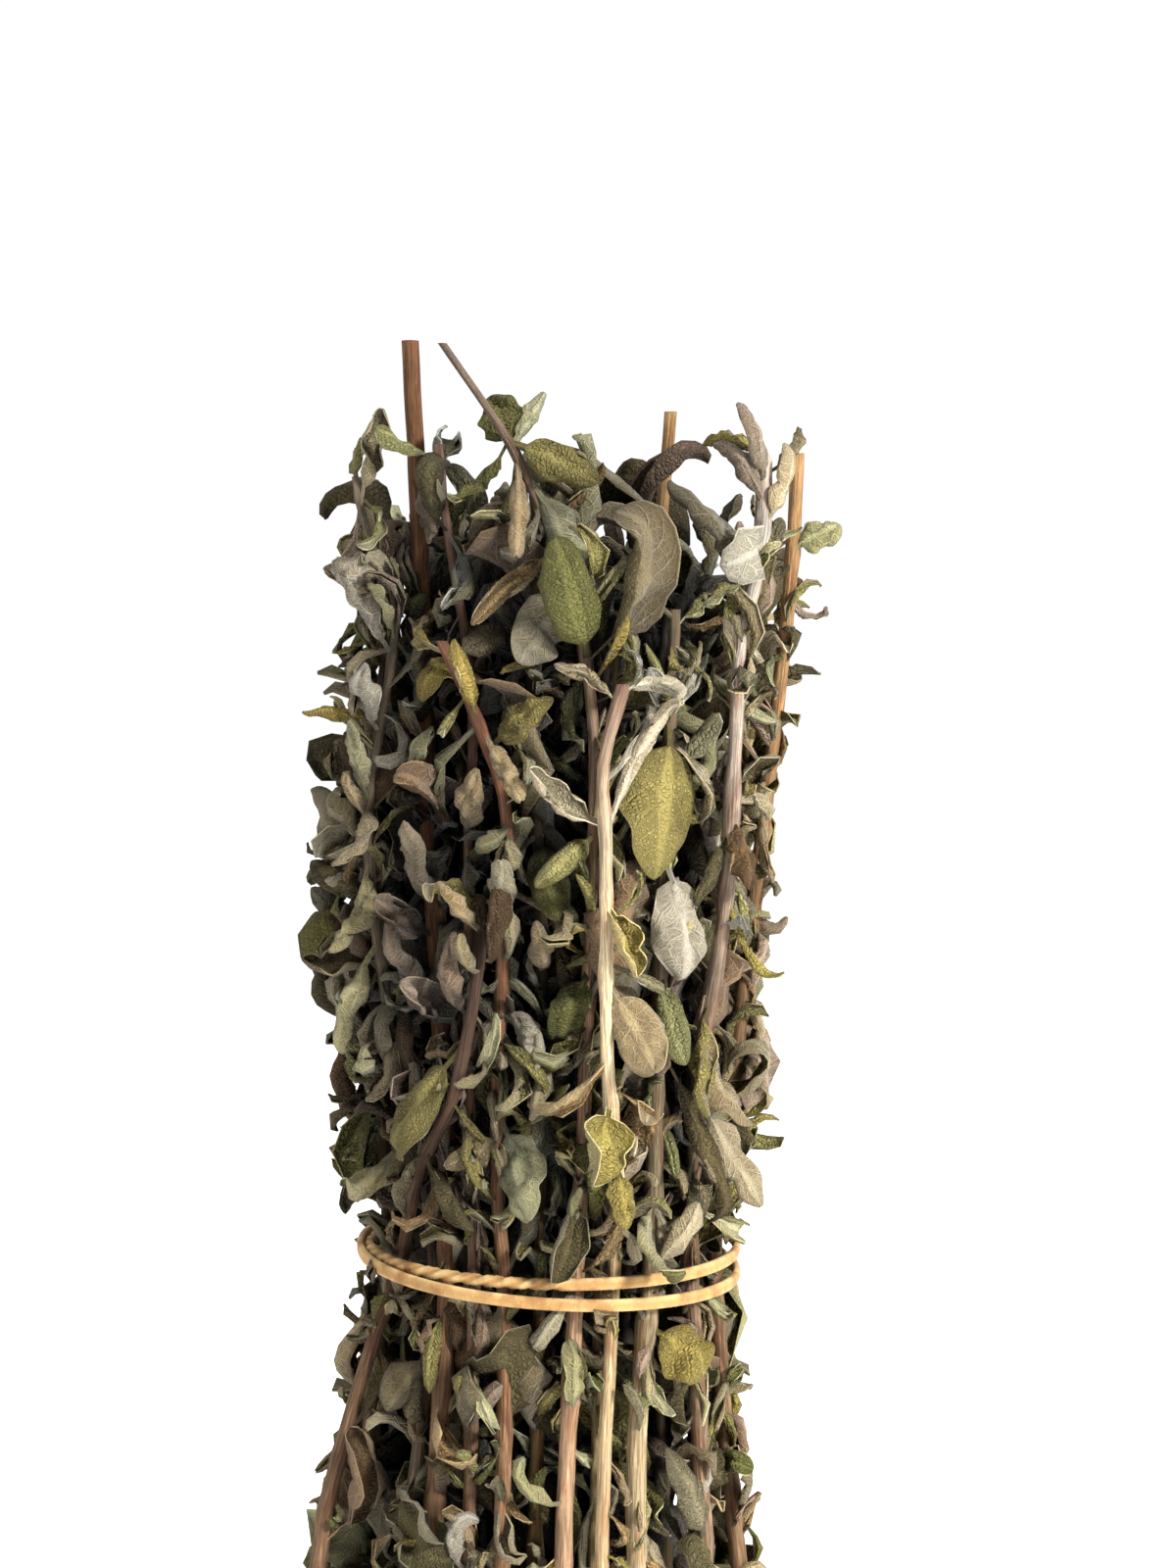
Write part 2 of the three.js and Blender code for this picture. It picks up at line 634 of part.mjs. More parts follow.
// The leaves of every stem. `grow` tries a leaf until one is clear of all that stands already,
// each try smaller than the one before.
function growLeaves(stems) {
  const leaves = stems.map((stem) => stem.leaves.map((row) => handLeaf(stem, row)));
  const placed = [
    ...stems.flatMap(stemSamples),
    ...bandSamples(),
    ...leaves.flatMap((own, i) => own.flatMap((leaf) => leafSamples(leaf, i))),
  ];
  const grow = (i, draw, height, heading, kind) => {
    for (let attempt = 0; attempt < TRIES; attempt++) {
      const shrink = 1 - (SHRINK * attempt) / TRIES;
      const leaf = drawLeaf(draw, stems[i], height, heading, kind, shrink);
      const points = leafSamples(leaf, i);
      if (points.every(({ p }) => inEnvelope(p)) && isClear(points, placed)) {
        leaves[i].push(leaf);
        placed.push(...points);
        return;
      }
    }
  };
  const outward = (stem, height) => {
    const at = stemAt(stem, height);
    return Math.atan2(at.x, -at.y);
  };
  const streams = stems.map((_, i) => draws(5000 + i));
  stems.forEach((stem, i) => {
    const top = stemTop(stem);
    growPairs(stem, streams[i], top, (height, turn) => {
      grow(i, streams[i], height, outward(stem, height) + turn, PAIRED);
    });
    for (let k = 0; k < TUFT.leaves && !stem.cut; k++) {
      const height = top - TUFT.below - TUFT.gap * k;
      grow(i, streams[i], height, streams[i]() * 2 * Math.PI, TUFTED);
    }
  });
  stems.forEach((stem, i) => {
    for (let k = 0; k < LOW.leaves && bareHeight(stem) < WAIST_HEIGHT; k++) {
      const height = between(streams[i], ...LOW.height);
      grow(i, streams[i], height, outward(stem, height), PAIRED);
    }
  });
  return leaves;
}

const bareHeight = (stem) => stem.bare ?? OUTER_BARE;

// Calls `grow` for each leaf of the pairs up a stem, each pair a quarter turn from the last.
function growPairs(stem, draw, top, grow) {
  const [least, most] = PAIR_TURN;
  let quarter = draw() * Math.PI;
  for (let h = bareHeight(stem); h < top - TOP_FREE; h += between(draw, ...NODE_GAP)) {
    const turn = least + (most - least) * Math.abs(Math.sin(quarter));
    grow(h, -turn);
    grow(h, turn);
    quarter += Math.PI / 2;
  }
}

// ---- The bunch -------------------------------------------------------------------------------
const stems = [...FRONT_STEMS, ...ringStems(), CENTRE_STEM];
const leaves = growLeaves(stems);
const bunch = new THREE.Group();
stems.forEach((stem, i) => {
  const pieces = [stemSolid(stem), ...leaves[i].map(leafSolid)];
  bunch.add(meshOf(joined(pieces), stem.name, stem.colour));
});
bunch.add(meshOf(bandSolid(), "rubber_band", "rubber"));

export default bunch;
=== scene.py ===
import functools
import math

import bmesh
import bpy
import numpy as np
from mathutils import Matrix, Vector


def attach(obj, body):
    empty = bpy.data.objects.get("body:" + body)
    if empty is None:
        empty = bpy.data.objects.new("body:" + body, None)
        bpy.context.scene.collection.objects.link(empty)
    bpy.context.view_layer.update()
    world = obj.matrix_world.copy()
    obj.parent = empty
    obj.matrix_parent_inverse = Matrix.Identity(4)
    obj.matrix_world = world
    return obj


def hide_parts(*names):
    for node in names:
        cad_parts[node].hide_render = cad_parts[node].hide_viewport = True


# A dried sage bunch: leafy sage stems stood together as a sheaf on their cut ends, and gripped at
# the waist by one rubber band that goes round them twice. Each plain stem of the frame gives way to
# a finer one of the same form, in the same place.
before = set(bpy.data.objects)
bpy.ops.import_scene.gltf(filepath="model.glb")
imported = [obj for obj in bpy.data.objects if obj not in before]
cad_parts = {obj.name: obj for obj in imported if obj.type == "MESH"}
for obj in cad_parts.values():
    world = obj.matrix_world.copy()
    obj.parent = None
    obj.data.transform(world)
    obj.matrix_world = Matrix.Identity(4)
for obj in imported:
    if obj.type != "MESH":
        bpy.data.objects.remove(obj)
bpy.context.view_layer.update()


# ---- Camera ------------------------------------------------------------------------------------
# An upright frame from straight in front at the height of the crown, looking a little down. The
# lens is a short portrait lens, and the bunch runs out of the frame's lower edge.
MM = 0.001  # sizes are written in millimetres, and meshes are in metres
LENS_MM, SENSOR_MM = 45, 24
CAMERA_PLACE = Vector((0, -600, 252)) * MM
CAMERA_TARGET = Vector((7.6, 0, 210)) * MM

camera_data = bpy.data.cameras.new("camera")
camera_data.sensor_fit = "VERTICAL"
camera_data.sensor_height = SENSOR_MM
camera_data.lens = LENS_MM
camera = bpy.data.objects.new("camera", camera_data)
camera.location = CAMERA_PLACE
camera.rotation_euler = (CAMERA_TARGET - CAMERA_PLACE).to_track_quat("-Z", "Y").to_euler()
bpy.context.scene.collection.objects.link(camera)
bpy.context.scene.camera = camera


# ---- Stems at the front ------------------------------------------------------------------------
# Sage stems are woody, square and bent by their own growth, thick at the foot and thin at the tip.
# These thirteen stand in front, each with its own bends, and four have been cut off at the top.
#
# A path is rows of (height, x, y). A bark is a stem's colours from its foot to its top, and radii
# are its own at both ends. From one height to the other in each pair of `seen`, no small leaf
# hides the stem. A leaf is a row of (height on the stem, tip, width, side that shows, spin, roll,
# bend, twist, tone), with its turns in degrees.
FRONT_STEMS = [
    dict(
        name="left_dark", colour="brown", bark=((150, 116, 84), (72, 54, 44)), radii=(2.2, 1.3),
        seen=[(20, 95), (125, 175)],
        path=[(0, -50, -21), (58, -46.5, -19), (97, -36.5, -15.5), (113.5, -30.5, -14.5),
              (135, -26.2, -25), (152, -19, -38), (173, -14.5, -38.5), (186, -13.5, -34.5)],
        leaves=[(163, (-36, -31, 137), 11, 1, 0, -120, -15, -10, "olive")],
    ),
    dict(
        name="left_grey", colour="grey", bark=((150, 130, 104), (140, 126, 104)), radii=(2.1, 0.8),
        path=[(0, -35, -28), (60, -28.5, -23.5), (113.5, -23.5, -18), (135, -26, -15.5),
              (160, -31.5, -18.5), (205, -36, -21.5), (235, -31.5, -21), (250, -31, -20),
              (262, -36.5, -18), (272, -38.5, -17)],
        leaves=[
            (197, (-41.5, -28, 178), 9, -1, 0, 230, -15, 20, "pale green"),
            (180, (-46, -23, 158), 11, -1, 0, 220, 15, -15, "pale green"),
            (266, (-32.5, -17, 285), 8, -1, 0, 160, 15, 120, "grey"),
            (255, (-45, -22, 253), 12, -1, 20, 200, 120, 0, "silver"),
            (237, (-42, -26, 251), 8, -1, 0, 170, -20, 0, "silver"),
            (240, (-33.5, -28, 252), 7, 1, 0, 150, 15, 0, "green"),
            (222, (-39, -29, 235), 10, -1, 0, 150, 20, 20, "silver"),
            (225, (-49, -22, 226), 5, 1, 0, -160, -15, 0, "yellow"),
            (200, (-47, -21, 210), 8, -1, 0, 160, 20, 0, "dark"),
            (208, (-39.5, -30, 224), 8, -1, 0, 170, 15, 0, "pale green"),
            (209, (-40, -31, 195), 7, -1, 0, 220, -20, 20, "grey"),
            (188, (-50.5, -17, 197), 9, 1, 0, -90, -20, 0, "dark"),
            (177, (-50, -16, 174), 8, 1, 0, 150, 20, 30, "dark"),
            (141, (-42, -20, 126), 9, -1, 0, 200, -20, 15, "pale green"),
        ],
    ),
    dict(
        name="left_cut", colour="brown", bark=((120, 92, 66), (112, 74, 44)), radii=(2.3, 2),
        cut=True,
        seen=[(255, 299)],
        path=[(0, -27, -35), (113.5, -20.5, -26.5), (135, -20.5, -24), (165, -21.5, -22),
              (200, -24, -18), (258, -26, -13), (299, -27.8, -12)],
        leaves=[
            (187, (-27, -36, 206), 10, -1, 0, 200, 50, 0, "grey"),
            (181, (-34, -33, 190), 9, 1, 0, -60, -30, 20, "brown"),
            (168, (-34, -31, 184), 8, -1, 0, 160, 40, 0, "purple"),
            (165, (-30, -37, 174), 10, 1, 0, -70, 25, 0, "purple"),
            (210, (-28, -34, 222), 9, -1, 0, 160, 30, 60, "pale green"),
            (272, (-25, -24, 259), 8, -1, 0, 200, -20, 40, "tan"),
        ],
    ),
    dict(
        name="left_thin", colour="grey", bark=((128, 98, 70), (120, 92, 78)), radii=(1.7, 1),
        seen=[(205, 278)],
        path=[(0, -18, -41.5), (113.5, -15.2, -30.2), (150, -16, -29.5), (200, -16, -28),
              (228, -15.2, -26), (250, -18.2, -25), (265, -20.7, -24), (278, -21.9, -24)],
        leaves=[
            (167, (-22, -41, 184), 7, -1, 0, 150, 60, 20, "purple"),
            (202, (-16, -41, 214), 7, -1, 0, 90, 20, 0, "tan"),
            (237, (-27, -36, 231), 8.5, 1, 0, -40, -25, 0, "yellow"),
        ],
    ),
    dict(
        name="front_left", colour="green", bark=((150, 118, 84), (128, 86, 62)), radii=(2.1, 1.2),
        seen=[(205, 240)],
        path=[(0, -11, -44), (65, -9.6, -37.5), (113.5, -9.2, -32.5), (135, -10.5, -33),
              (190, -9, -34.5), (207, -8.5, -36), (225, -14.2, -36), (240, -21, -35)],
        leaves=[
            (204, (-13, -46, 179), 10, 1, 0, -220, -15, -20, "brown"),
            (186, (-9.5, -45, 199), 7, -1, 0, 120, 25, 0, "grey"),
            (170, (-4, -44, 159), 8, -1, 0, 160, -60, 0, "cream"),
            (222, (-6, -46, 210), 7, -1, 0, 160, -15, 15, "tan"),
            (219, (-1, -43, 231), 10, 1, 0, -60, -20, 15, "olive"),
            (148, (-6, -46, 130), 12, -1, 0, 100, -50, 20, "pale green"),
        ],
    ),
    dict(
        name="front_ochre", colour="green", bark=((158, 126, 70), (120, 94, 56)), radii=(1.8, 1.1),
        path=[(0, -4.5, -37), (113.5, -2.3, -28.6), (180, -2, -30), (235, -4, -29)],
        leaves=[
            (203, (1.5, -41, 187), 10, 1, 0, -60, -15, 10, "green"),
            (176, (-2, -43, 185), 7, -1, 20, 160, 60, 0, "tan"),
        ],
    ),
    dict(
        name="front_long", colour="green", bark=((190, 152, 116), (116, 98, 82)), radii=(2.3, 1),
        cut=True,
        seen=[(30, 95), (205, 297)],
        path=[(0, 1.5, -43.5), (64.6, 2.4, -38.5), (113.5, 4.9, -33.3), (150, 6.5, -34.5),
              (200, 8.3, -35), (224, 8.1, -35), (248, 4.5, -34.5), (267, -2.7, -34),
              (279, -8.5, -33), (297, -20.8, -31)],
        leaves=[
            (251, (-5, -42, 236), 12, -1, 0, 50, -20, 0, "grey"),
            (257, (-15, -40, 243), 6, 1, 0, -150, -70, 0, "tan"),
            (271, (7.5, -44, 251), 9, -1, 0, 170, -25, 0, "pale green"),
            (275, (-6.5, -44, 256), 7, -1, 0, 200, -20, 10, "tan"),
            (276, (-12, -24, 288), 10, 1, 0, -60, -20, 0, "green"),
            (278, (9, -37, 270), 11, 1, 0, -110, -60, 0, "olive"),
            (277, (-1, -27, 288), 5, -1, 0, 160, 20, 0, "pale green"),
            (177, (1, -43, 162), 10, 1, 0, -80, -30, 0, "green"),
            (131, (1, -44, 117), 9, 1, 0, 100, -30, 40, "dark"),
        ],
    ),
    dict(
        name="front_pale", colour="pale",
        bark=((186, 158, 120), (178, 150, 112), (202, 178, 136), (242, 222, 180), (140, 110, 94)),
        radii=(1.7, 1.4),
        seen=[(30, 100), (135, 232)],
        path=[(0, 8.4, -46), (77, 10.2, -38.5), (113.5, 12.2, -31.5), (135, 12.8, -37),
              (160, 10.8, -44), (202, 10.4, -45.5), (217, 10, -45), (232, 13.8, -45)],
        leaves=[
            (231, (27, -43, 230), 6, -1, 0, 260, -110, 0, "cream"),
            (204, (23, -44, 233), 6, -1, 0, 280, -15, 20, "cream"),
            (190, (16, -47, 177), 8, 1, 0, 200, -60, 0, "yellow"),
            (176, (21, -48, 157), 11, -1, 0, 90, -15, 15, "tan"),
            (152, (8, -49, 137), 13, 1, 0, 120, -20, 50, "yellow"),
            (139, (15.5, -45, 127), 8, 1, 0, -100, -20, 0, "yellow"),
        ],
    ),
    dict(
        name="front_thin", colour="green", bark=((172, 152, 104), (130, 112, 74)), radii=(1.3, 0.9),
        path=[(0, 6, -36), (80, 8.8, -32.5), (113.5, 9, -27), (170, 9.5, -27.5),
              (240, 13, -33)],
        leaves=[],
    ),
    dict(
        name="front_thick", colour="grey", bark=((176, 156, 118), (122, 104, 80)), radii=(2.9, 1.1),
        path=[(0, 18.2, -43.5), (62, 16.6, -38), (88, 17, -34), (113.5, 19.5, -27.5),
              (150, 20.5, -30), (200, 22, -32), (246, 24, -34)],
        leaves=[
            (226, (20, -39.5, 194), 19, 1, 0, -50, -20, 10, "olive"),
            (198, (28.5, -42, 175), 14, -1, 0, 40, 15, 0, "silver"),
            (161, (40, -30.5, 122), 10, 1, 0, -220, -15, 10, "dark"),
            (131, (21.5, -44.5, 114.5), 8, -1, 0, 60, -45, 0, "pale green"),
            (105, (34, -33, 96), 14, 1, 0, -50, -20, 0, "yellow"),
        ],
    ),
    dict(
        name="right_woolly", colour="grey",
        bark=((160, 130, 96), (130, 106, 82), (118, 96, 74), (150, 130, 112), (212, 202, 188)),
        radii=(2.1, 1.5),
        seen=[(140, 225)],
        path=[(0, 33, -31), (57, 30.5, -24.5), (85, 29.5, -20.5), (113.5, 28, -18.5),
              (135, 28.5, -20.5), (160, 30.1, -25), (187, 33.9, -29), (221, 36, -28),
              (237, 36.8, -27), (258, 41, -25), (276, 41.8, -24)],
        leaves=[
            (157, (35.5, -26, 163.5), 8, 1, -113, 30, 280, 0, "dark"),
            (164, (38.5, -34, 145), 10, -1, 0, 120, -50, 0, "tan"),
            (149, (43, -21, 127), 11, -1, 0, 90, -20, 0, "grey"),
            (206, (39, -36, 192), 9, 1, 0, -150, -30, 0, "brown"),
            (192, (42, -32, 171), 6, 1, 0, -250, 15, 0, "yellow"),
            (203, (28, -38, 189), 7, 1, 0, -200, -15, 0, "dark"),
            (266, (34, -29, 281), 6, -1, 0, 150, 20, 30, "purple"),
            (270, (39, -33, 286), 6, -1, 0, 130, 15, 0, "purple"),
            (262, (49, -26, 278), 7, -1, 0, 150, 20, 0, "grey"),
        ],
    ),
    dict(
        name="right_cut", colour="brown", bark=((134, 106, 76), (104, 80, 56), (158, 122, 80)),
        radii=(2.1, 1.6),
        cut=True,
        seen=[(254, 277)],
        path=[(0, 43.5, -9), (113.5, 33.4, -4.5), (150, 37, -8), (190, 41.5, -9),
              (220, 45, -8), (255, 48.5, -8), (277, 49.5, -8)],
        leaves=[(258, (58, -11, 263), 8, 1, 0, 120, 30, 40, "green")],
    ),
    dict(
        name="crown_cut", colour="brown", bark=((130, 104, 72), (150, 120, 78)), radii=(2, 1.5),
        cut=True,
        seen=[(250, 286)],
        path=[(0, 18, 6), (113.5, 16, 4), (200, 20, 5), (261, 22.6, 5), (286, 24.6, 5)],
        leaves=[],
    ),
]


@functools.cache
def curve(rows, column):
    """The heights, values and slopes of a smooth curve through rows of (height, value, ...)."""
    heights, values = [row[0] for row in rows], [row[column] for row in rows]
    last = len(rows) - 1
    slopes = []
    for i in range(len(rows)):
        low, high = max(i - 1, 0), min(i + 1, last)
        slopes.append((values[high] - values[low]) / (heights[high] - heights[low]))
    return np.array(heights, float), np.array(values, float), np.array(slopes, float)


def along(rows, height, column):
    """That curve's value at one height or at several."""
    heights, values, slopes = curve(tuple(rows), column)
    i = np.clip(heights.searchsorted(height) - 1, 0, len(heights) - 2)
    span = heights[i + 1] - heights[i]
    t = np.minimum(np.maximum((height - heights[i]) / span, 0), 1)
    t2 = t * t
    t3 = t2 * t
    return (
        (2 * t3 - 3 * t2 + 1) * values[i]
        + (t3 - 2 * t2 + t) * span * slopes[i]
        + (3 * t2 - 2 * t3) * values[i + 1]
        + (t3 - t2) * span * slopes[i + 1]
    )


def stem_top(stem):
    return stem["path"][-1][0]


def stem_at(stem, height):
    """The stem's middle at a height, or at several, as rows of x, y and z."""
    return np.stack(
        [along(stem["path"], height, 1), along(stem["path"], height, 2), height + 0.0], axis=-1
    )


def stem_radius(stem, height):
    low, high = stem["radii"]
    return low + (high - low) * height / stem_top(stem)


# ---- Stems behind and inside -------------------------------------------------------------------
# The rest of the sheaf: stems of the same kind in three rings and one in the middle, pressed
# together where the band grips them. They spread towards the foot and towards the crown, and the
# crown leans a little to the right.
BUNCH_HEIGHT = 299
WAIST_HEIGHT = 113.5
WAIST_RADIUS = 33.8
FOOT_SPREAD, KNEE_SPREAD, SHOULDER_SPREAD, CROWN_SPREAD = 1.2, 1.12, 1.06, 1.17
KNEE_HEIGHT, SHOULDER_HEIGHT = 60, 170
FOOT_LEAN, CROWN_LEAN = -3, 7
SWAY = 0.9  # how far a ring stem strays from its ring
TIPS = (228, 268)
FOOT_RADII, TIP_RADII = (1.7, 2.3), (0.9, 1.2)
RINGS = [  # first and last are azimuths, and bare is the height of a stem's lowest leaves
    dict(name="back", count=10, radius=WAIST_RADIUS, first=102, last=274.8, bare=26),
    dict(name="middle", count=12, radius=22.4, first=12, last=342, bare=190),
    dict(name="inner", count=6, radius=11.2, first=0, last=300, bare=210),
]
CENTRE_STEM = dict(
    name="centre", colour="brown", bark=((120, 92, 66), (96, 76, 56)), radii=(2.3, 1.1),
    path=[(0, 0, 0), (113.5, 0, 0), (190, 1, 0.5), (258, 5.5, 0)], bare=215, leaves=[],
)
RING_COLOURS = ["green", "grey", "green", "brown", "grey", "green", "pale"]
RING_SHIFT = 3  # each ring starts that many colours further on
RING_BARKS = {
    "green": ((146, 122, 80), (112, 96, 60)),
    "grey": ((150, 132, 106), (136, 122, 104)),
    "brown": ((112, 82, 58), (88, 64, 48)),
    "pale": ((190, 168, 126), (150, 130, 100)),
}
DRAW_STEP, DRAW_WRAP = 16807, 2147483647  # the minimal standard generator
SEED_STEP, SEED_START, SETTLING = 7919, 104729, 3
RING_SEED, RING_SEED_STEP = 1000, 100


def draws(seed):
    """Repeatable numbers from 0 to 1."""
    state = (seed * SEED_STEP + SEED_START) % DRAW_WRAP

    def step():
        nonlocal state
        state = state * DRAW_STEP % DRAW_WRAP
        return state / DRAW_WRAP

    for _ in range(SETTLING):
        step()
    return step


def between(draw, low, high):
    return low + (high - low) * draw()


def ring_stem(ring, level, k):
    draw = draws(RING_SEED + RING_SEED_STEP * level + k)
    azimuth = math.radians(ring["first"] + (ring["last"] - ring["first"]) / (ring["count"] - 1) * k)
    height = between(draw, *TIPS)

    def place(at, spread, lean):
        x = ring["radius"] * spread * math.sin(azimuth) + lean + between(draw, -SWAY, SWAY)
        y = -ring["radius"] * spread * math.cos(azimuth) + between(draw, -SWAY, SWAY)
        return (at, x, y)

    place(WAIST_HEIGHT, 1, 0)  # takes its two draws, as the frame's rule does, and isn't used
    radii = (between(draw, *FOOT_RADII), between(draw, *TIP_RADII))
    grip = (WAIST_HEIGHT, ring["radius"] * math.sin(azimuth), -ring["radius"] * math.cos(azimuth))
    path = [
        place(0, FOOT_SPREAD, FOOT_LEAN),
        place(KNEE_HEIGHT, KNEE_SPREAD, FOOT_LEAN / 2),
        grip,
        place(SHOULDER_HEIGHT, SHOULDER_SPREAD, 0),
        place(height, CROWN_SPREAD, CROWN_LEAN * height / BUNCH_HEIGHT),
    ]
    colour = RING_COLOURS[(k + RING_SHIFT * level) % len(RING_COLOURS)]
    return dict(
        name=f"{ring['name']}_{k + 1:02d}", colour=colour, bark=RING_BARKS[colour], radii=radii,
        bare=ring["bare"], path=path, leaves=[],
    )


stems = [*FRONT_STEMS]
for level, ring in enumerate(RINGS):
    stems += [ring_stem(ring, level, k) for k in range(ring["count"])]
stems.append(CENTRE_STEM)


# ---- Listed leaves -----------------------------------------------------------------------------
# A sage leaf is a short stalk and a long oval blade. As it dries it rolls across, bends along and
# twists. These stand out at the front, each in its own place on a front stem.
#
# In a leaf, `out` runs along the stalk where it leaves the stem, `face` is square to the blade on
# its upper side, and `side` runs across it.
UPWARD = 0.5  # how much a blade turns its upper face to the sky
PETIOLE_SHARE = 0.2
PETIOLE_HALF = 0.8
WIDEST_LEAN, OVAL = 0.8, 0.7  # where the blade is widest, and how full its ends are


def crossed(a, b):
    (a0, a1, a2), (b0, b1, b2) = a.tolist(), b.tolist()
    return np.array([a1 * b2 - a2 * b1, a2 * b0 - a0 * b2, a0 * b1 - a1 * b0])


def make_leaf(stem, height, chord, width, shows, spin, roll, bend, twist):
    root = stem_at(stem, float(height))
    reach = math.hypot(*chord)
    line = chord / reach
    face = np.array([root[0], root[1], 0])
    face = face / math.hypot(*face) * shows
    face[2] += UPWARD
    face -= line * (face @ line)
    face /= math.hypot(*face)
    face = face * math.cos(spin) + crossed(line, face) * math.sin(spin)
    half = bend / 2
    out = line * math.cos(half) - face * math.sin(half)
    face = face * math.cos(half) + line * math.sin(half)
    return dict(
        root=root, out=out, face=face, side=crossed(out, face), height=height,
        length=reach * half / math.sin(half), width=width, roll=roll, bend=bend, twist=twist,
    )


def hand_leaf(stem, row):
    height, tip, width, shows, *turns, tone = row
    spin, roll, bend, twist = np.radians(turns)
    chord = np.array(tip, float) - stem_at(stem, float(height))
    leaf = make_leaf(stem, height, chord, width, shows, spin, roll, bend, twist)
    return leaf | dict(tone=tone, kind="hand")


def outline(share):
    """Half the outline's width at a share of the length, as a share of the leaf's half width."""
    blade = np.clip((share - PETIOLE_SHARE) / (1 - PETIOLE_SHARE), 0, 1)
    return np.maximum(np.sin(np.pi * blade**WIDEST_LEAN), 0) ** OVAL


def set_on_midline(leaf, reach, rise, lean, wide, deep, twist):
    """Points of a leaf from its midline, which leans as it bends, and its twisted section."""
    x = wide * np.cos(twist) - deep * np.sin(twist)
    z = wide * np.sin(twist) + deep * np.cos(twist)
    reach, rise = reach - z * np.sin(lean), rise + z * np.cos(lean)
    return (
        leaf["root"] + reach[..., None] * leaf["out"] + rise[..., None] * leaf["face"]
        + x[..., None] * leaf["side"]
    )


def leaf_point(leaf, share, across):
    """Points of a leaf at shares of its length and across from -1 to 1."""
    turn = leaf["bend"] * share
    reach = leaf["length"] * np.sin(turn) / leaf["bend"]
    rise = leaf["length"] * (1 - np.cos(turn)) / leaf["bend"]
    half = np.where(share < 1, np.maximum(leaf["width"] / 2 * outline(share), PETIOLE_HALF), 0)
    curl = half / (leaf["roll"] / 2)
    fan = leaf["roll"] / 2 * across
    wide, deep = curl * np.sin(fan), curl * (1 - np.cos(fan))
    return set_on_midline(leaf, reach, rise, turn, wide, deep, leaf["twist"] * share)


leaves = [[hand_leaf(stem, row) for row in stem["leaves"]] for stem in stems]


# ---- Leaves in pairs ---------------------------------------------------------------------------
# Sage leaves come in pairs, each pair a quarter turn from the last, with a tuft on each uncut tip.
# A leaf is kept where it is clear of the stems, the band and the leaves that stand already, and
# inside the bunch's outline.
CROWN_HEIGHT = 283
STEM_GAP, LEAF_REACH, OWN_SHARE, FLOOR_GAP = 0.7, 1.45, 0.75, 4
SAMPLE_STEP, SAMPLE_WIDE, STEM_STEP, BAND_SAMPLES = 2.6, 4.5, 3, 240
STALK_FREE, BLADE_FROM = 0.12, 0.3
TRIES, SHRINK = 60, 0.5
NODE_GAP, TOP_FREE, PAIR_TURN = (32, 43), 9, (0.35, 1.25)
TUFT_LEAVES, TUFT_BELOW, TUFT_GAP = 2, 2, 2
LOW_LEAVES, LOW_HEIGHT = 3, (30, 98)
OUTER_BARE = 24  # height of the lowest leaves on a front stem
PAIRED = dict(name="full", length=(27, 40), drooping=0.4)
TUFTED = dict(name="full", length=(13, 22), drooping=0.1)
RISING, DROOPING = ((20, 82), 0.35), ((-80, -5), 0.7)  # climb, share with the upper side out
ROLLED_UNDER = 0.7
SLIM, STRAY, SPIN, ROLL, BEND, TWIST = (0.44, 0.62), 75, 55, (50, 230), (12, 100), 60
ENVELOPE = [  # height, reach from the middle line, where that line runs
    (0, 50, -4), (52, 48, -4), (87, 43, -2), (104, 42, 0), (122, 45, 0), (162, 50, -2),
    (192, 50, -3), (222, 49, -1), (242, 50, 3), (262, 51, 6), (300, 50, 8),
]
BAND_RADIUS, BAND_WIDE, BAND_THICK = 38.3, 2.5, 1.7
BAND_APART, BAND_OVER, BAND_TILT = 5.0, 1.05, -1.6
BAND_OWNER = -1
PAIR_SEED = 5000
MOST_THINGS, ROUND_ABOUT = 4000, 6


def band_line(share):
    """The rubber band's middle line after a share of its two turns: its strands lie apart at the
    right and cross at the left."""
    turned = np.asarray(share) * 4 * np.pi
    azimuth = turned + np.pi / 2
    radius = BAND_RADIUS + BAND_OVER * np.sin(turned / 2)
    height = WAIST_HEIGHT + BAND_APART / 2 * np.cos(turned / 2) + BAND_TILT * np.sin(azimuth)
    return np.stack([radius * np.sin(azimuth), -radius * np.cos(azimuth), height], axis=-1)


def leaf_samples(leaf):
    """Points over a leaf, and which of them are near its stem."""
    columns = 2 * math.ceil(leaf["width"] / 2 / SAMPLE_WIDE)
    rows = math.ceil(leaf["length"] / SAMPLE_STEP)
    share = np.arange(math.ceil(rows * STALK_FREE), rows + 1)[:, None] / rows
    across = 2 * np.arange(columns + 1)[None, :] / columns - 1
    share, across = np.broadcast_arrays(share, across)
    return leaf_point(leaf, share, across).reshape(-1, 3), share.reshape(-1) < BLADE_FROM


def in_envelope(points, ease):
    reach = along(ENVELOPE, points[:, 2], 1) + ease
    middle = along(ENVELOPE, points[:, 2], 2)
    inside = np.hypot(points[:, 0] - middle, points[:, 1]) < reach
    return bool(np.all(inside & (points[:, 2] > FLOOR_GAP) & (points[:, 2] < CROWN_HEIGHT)))


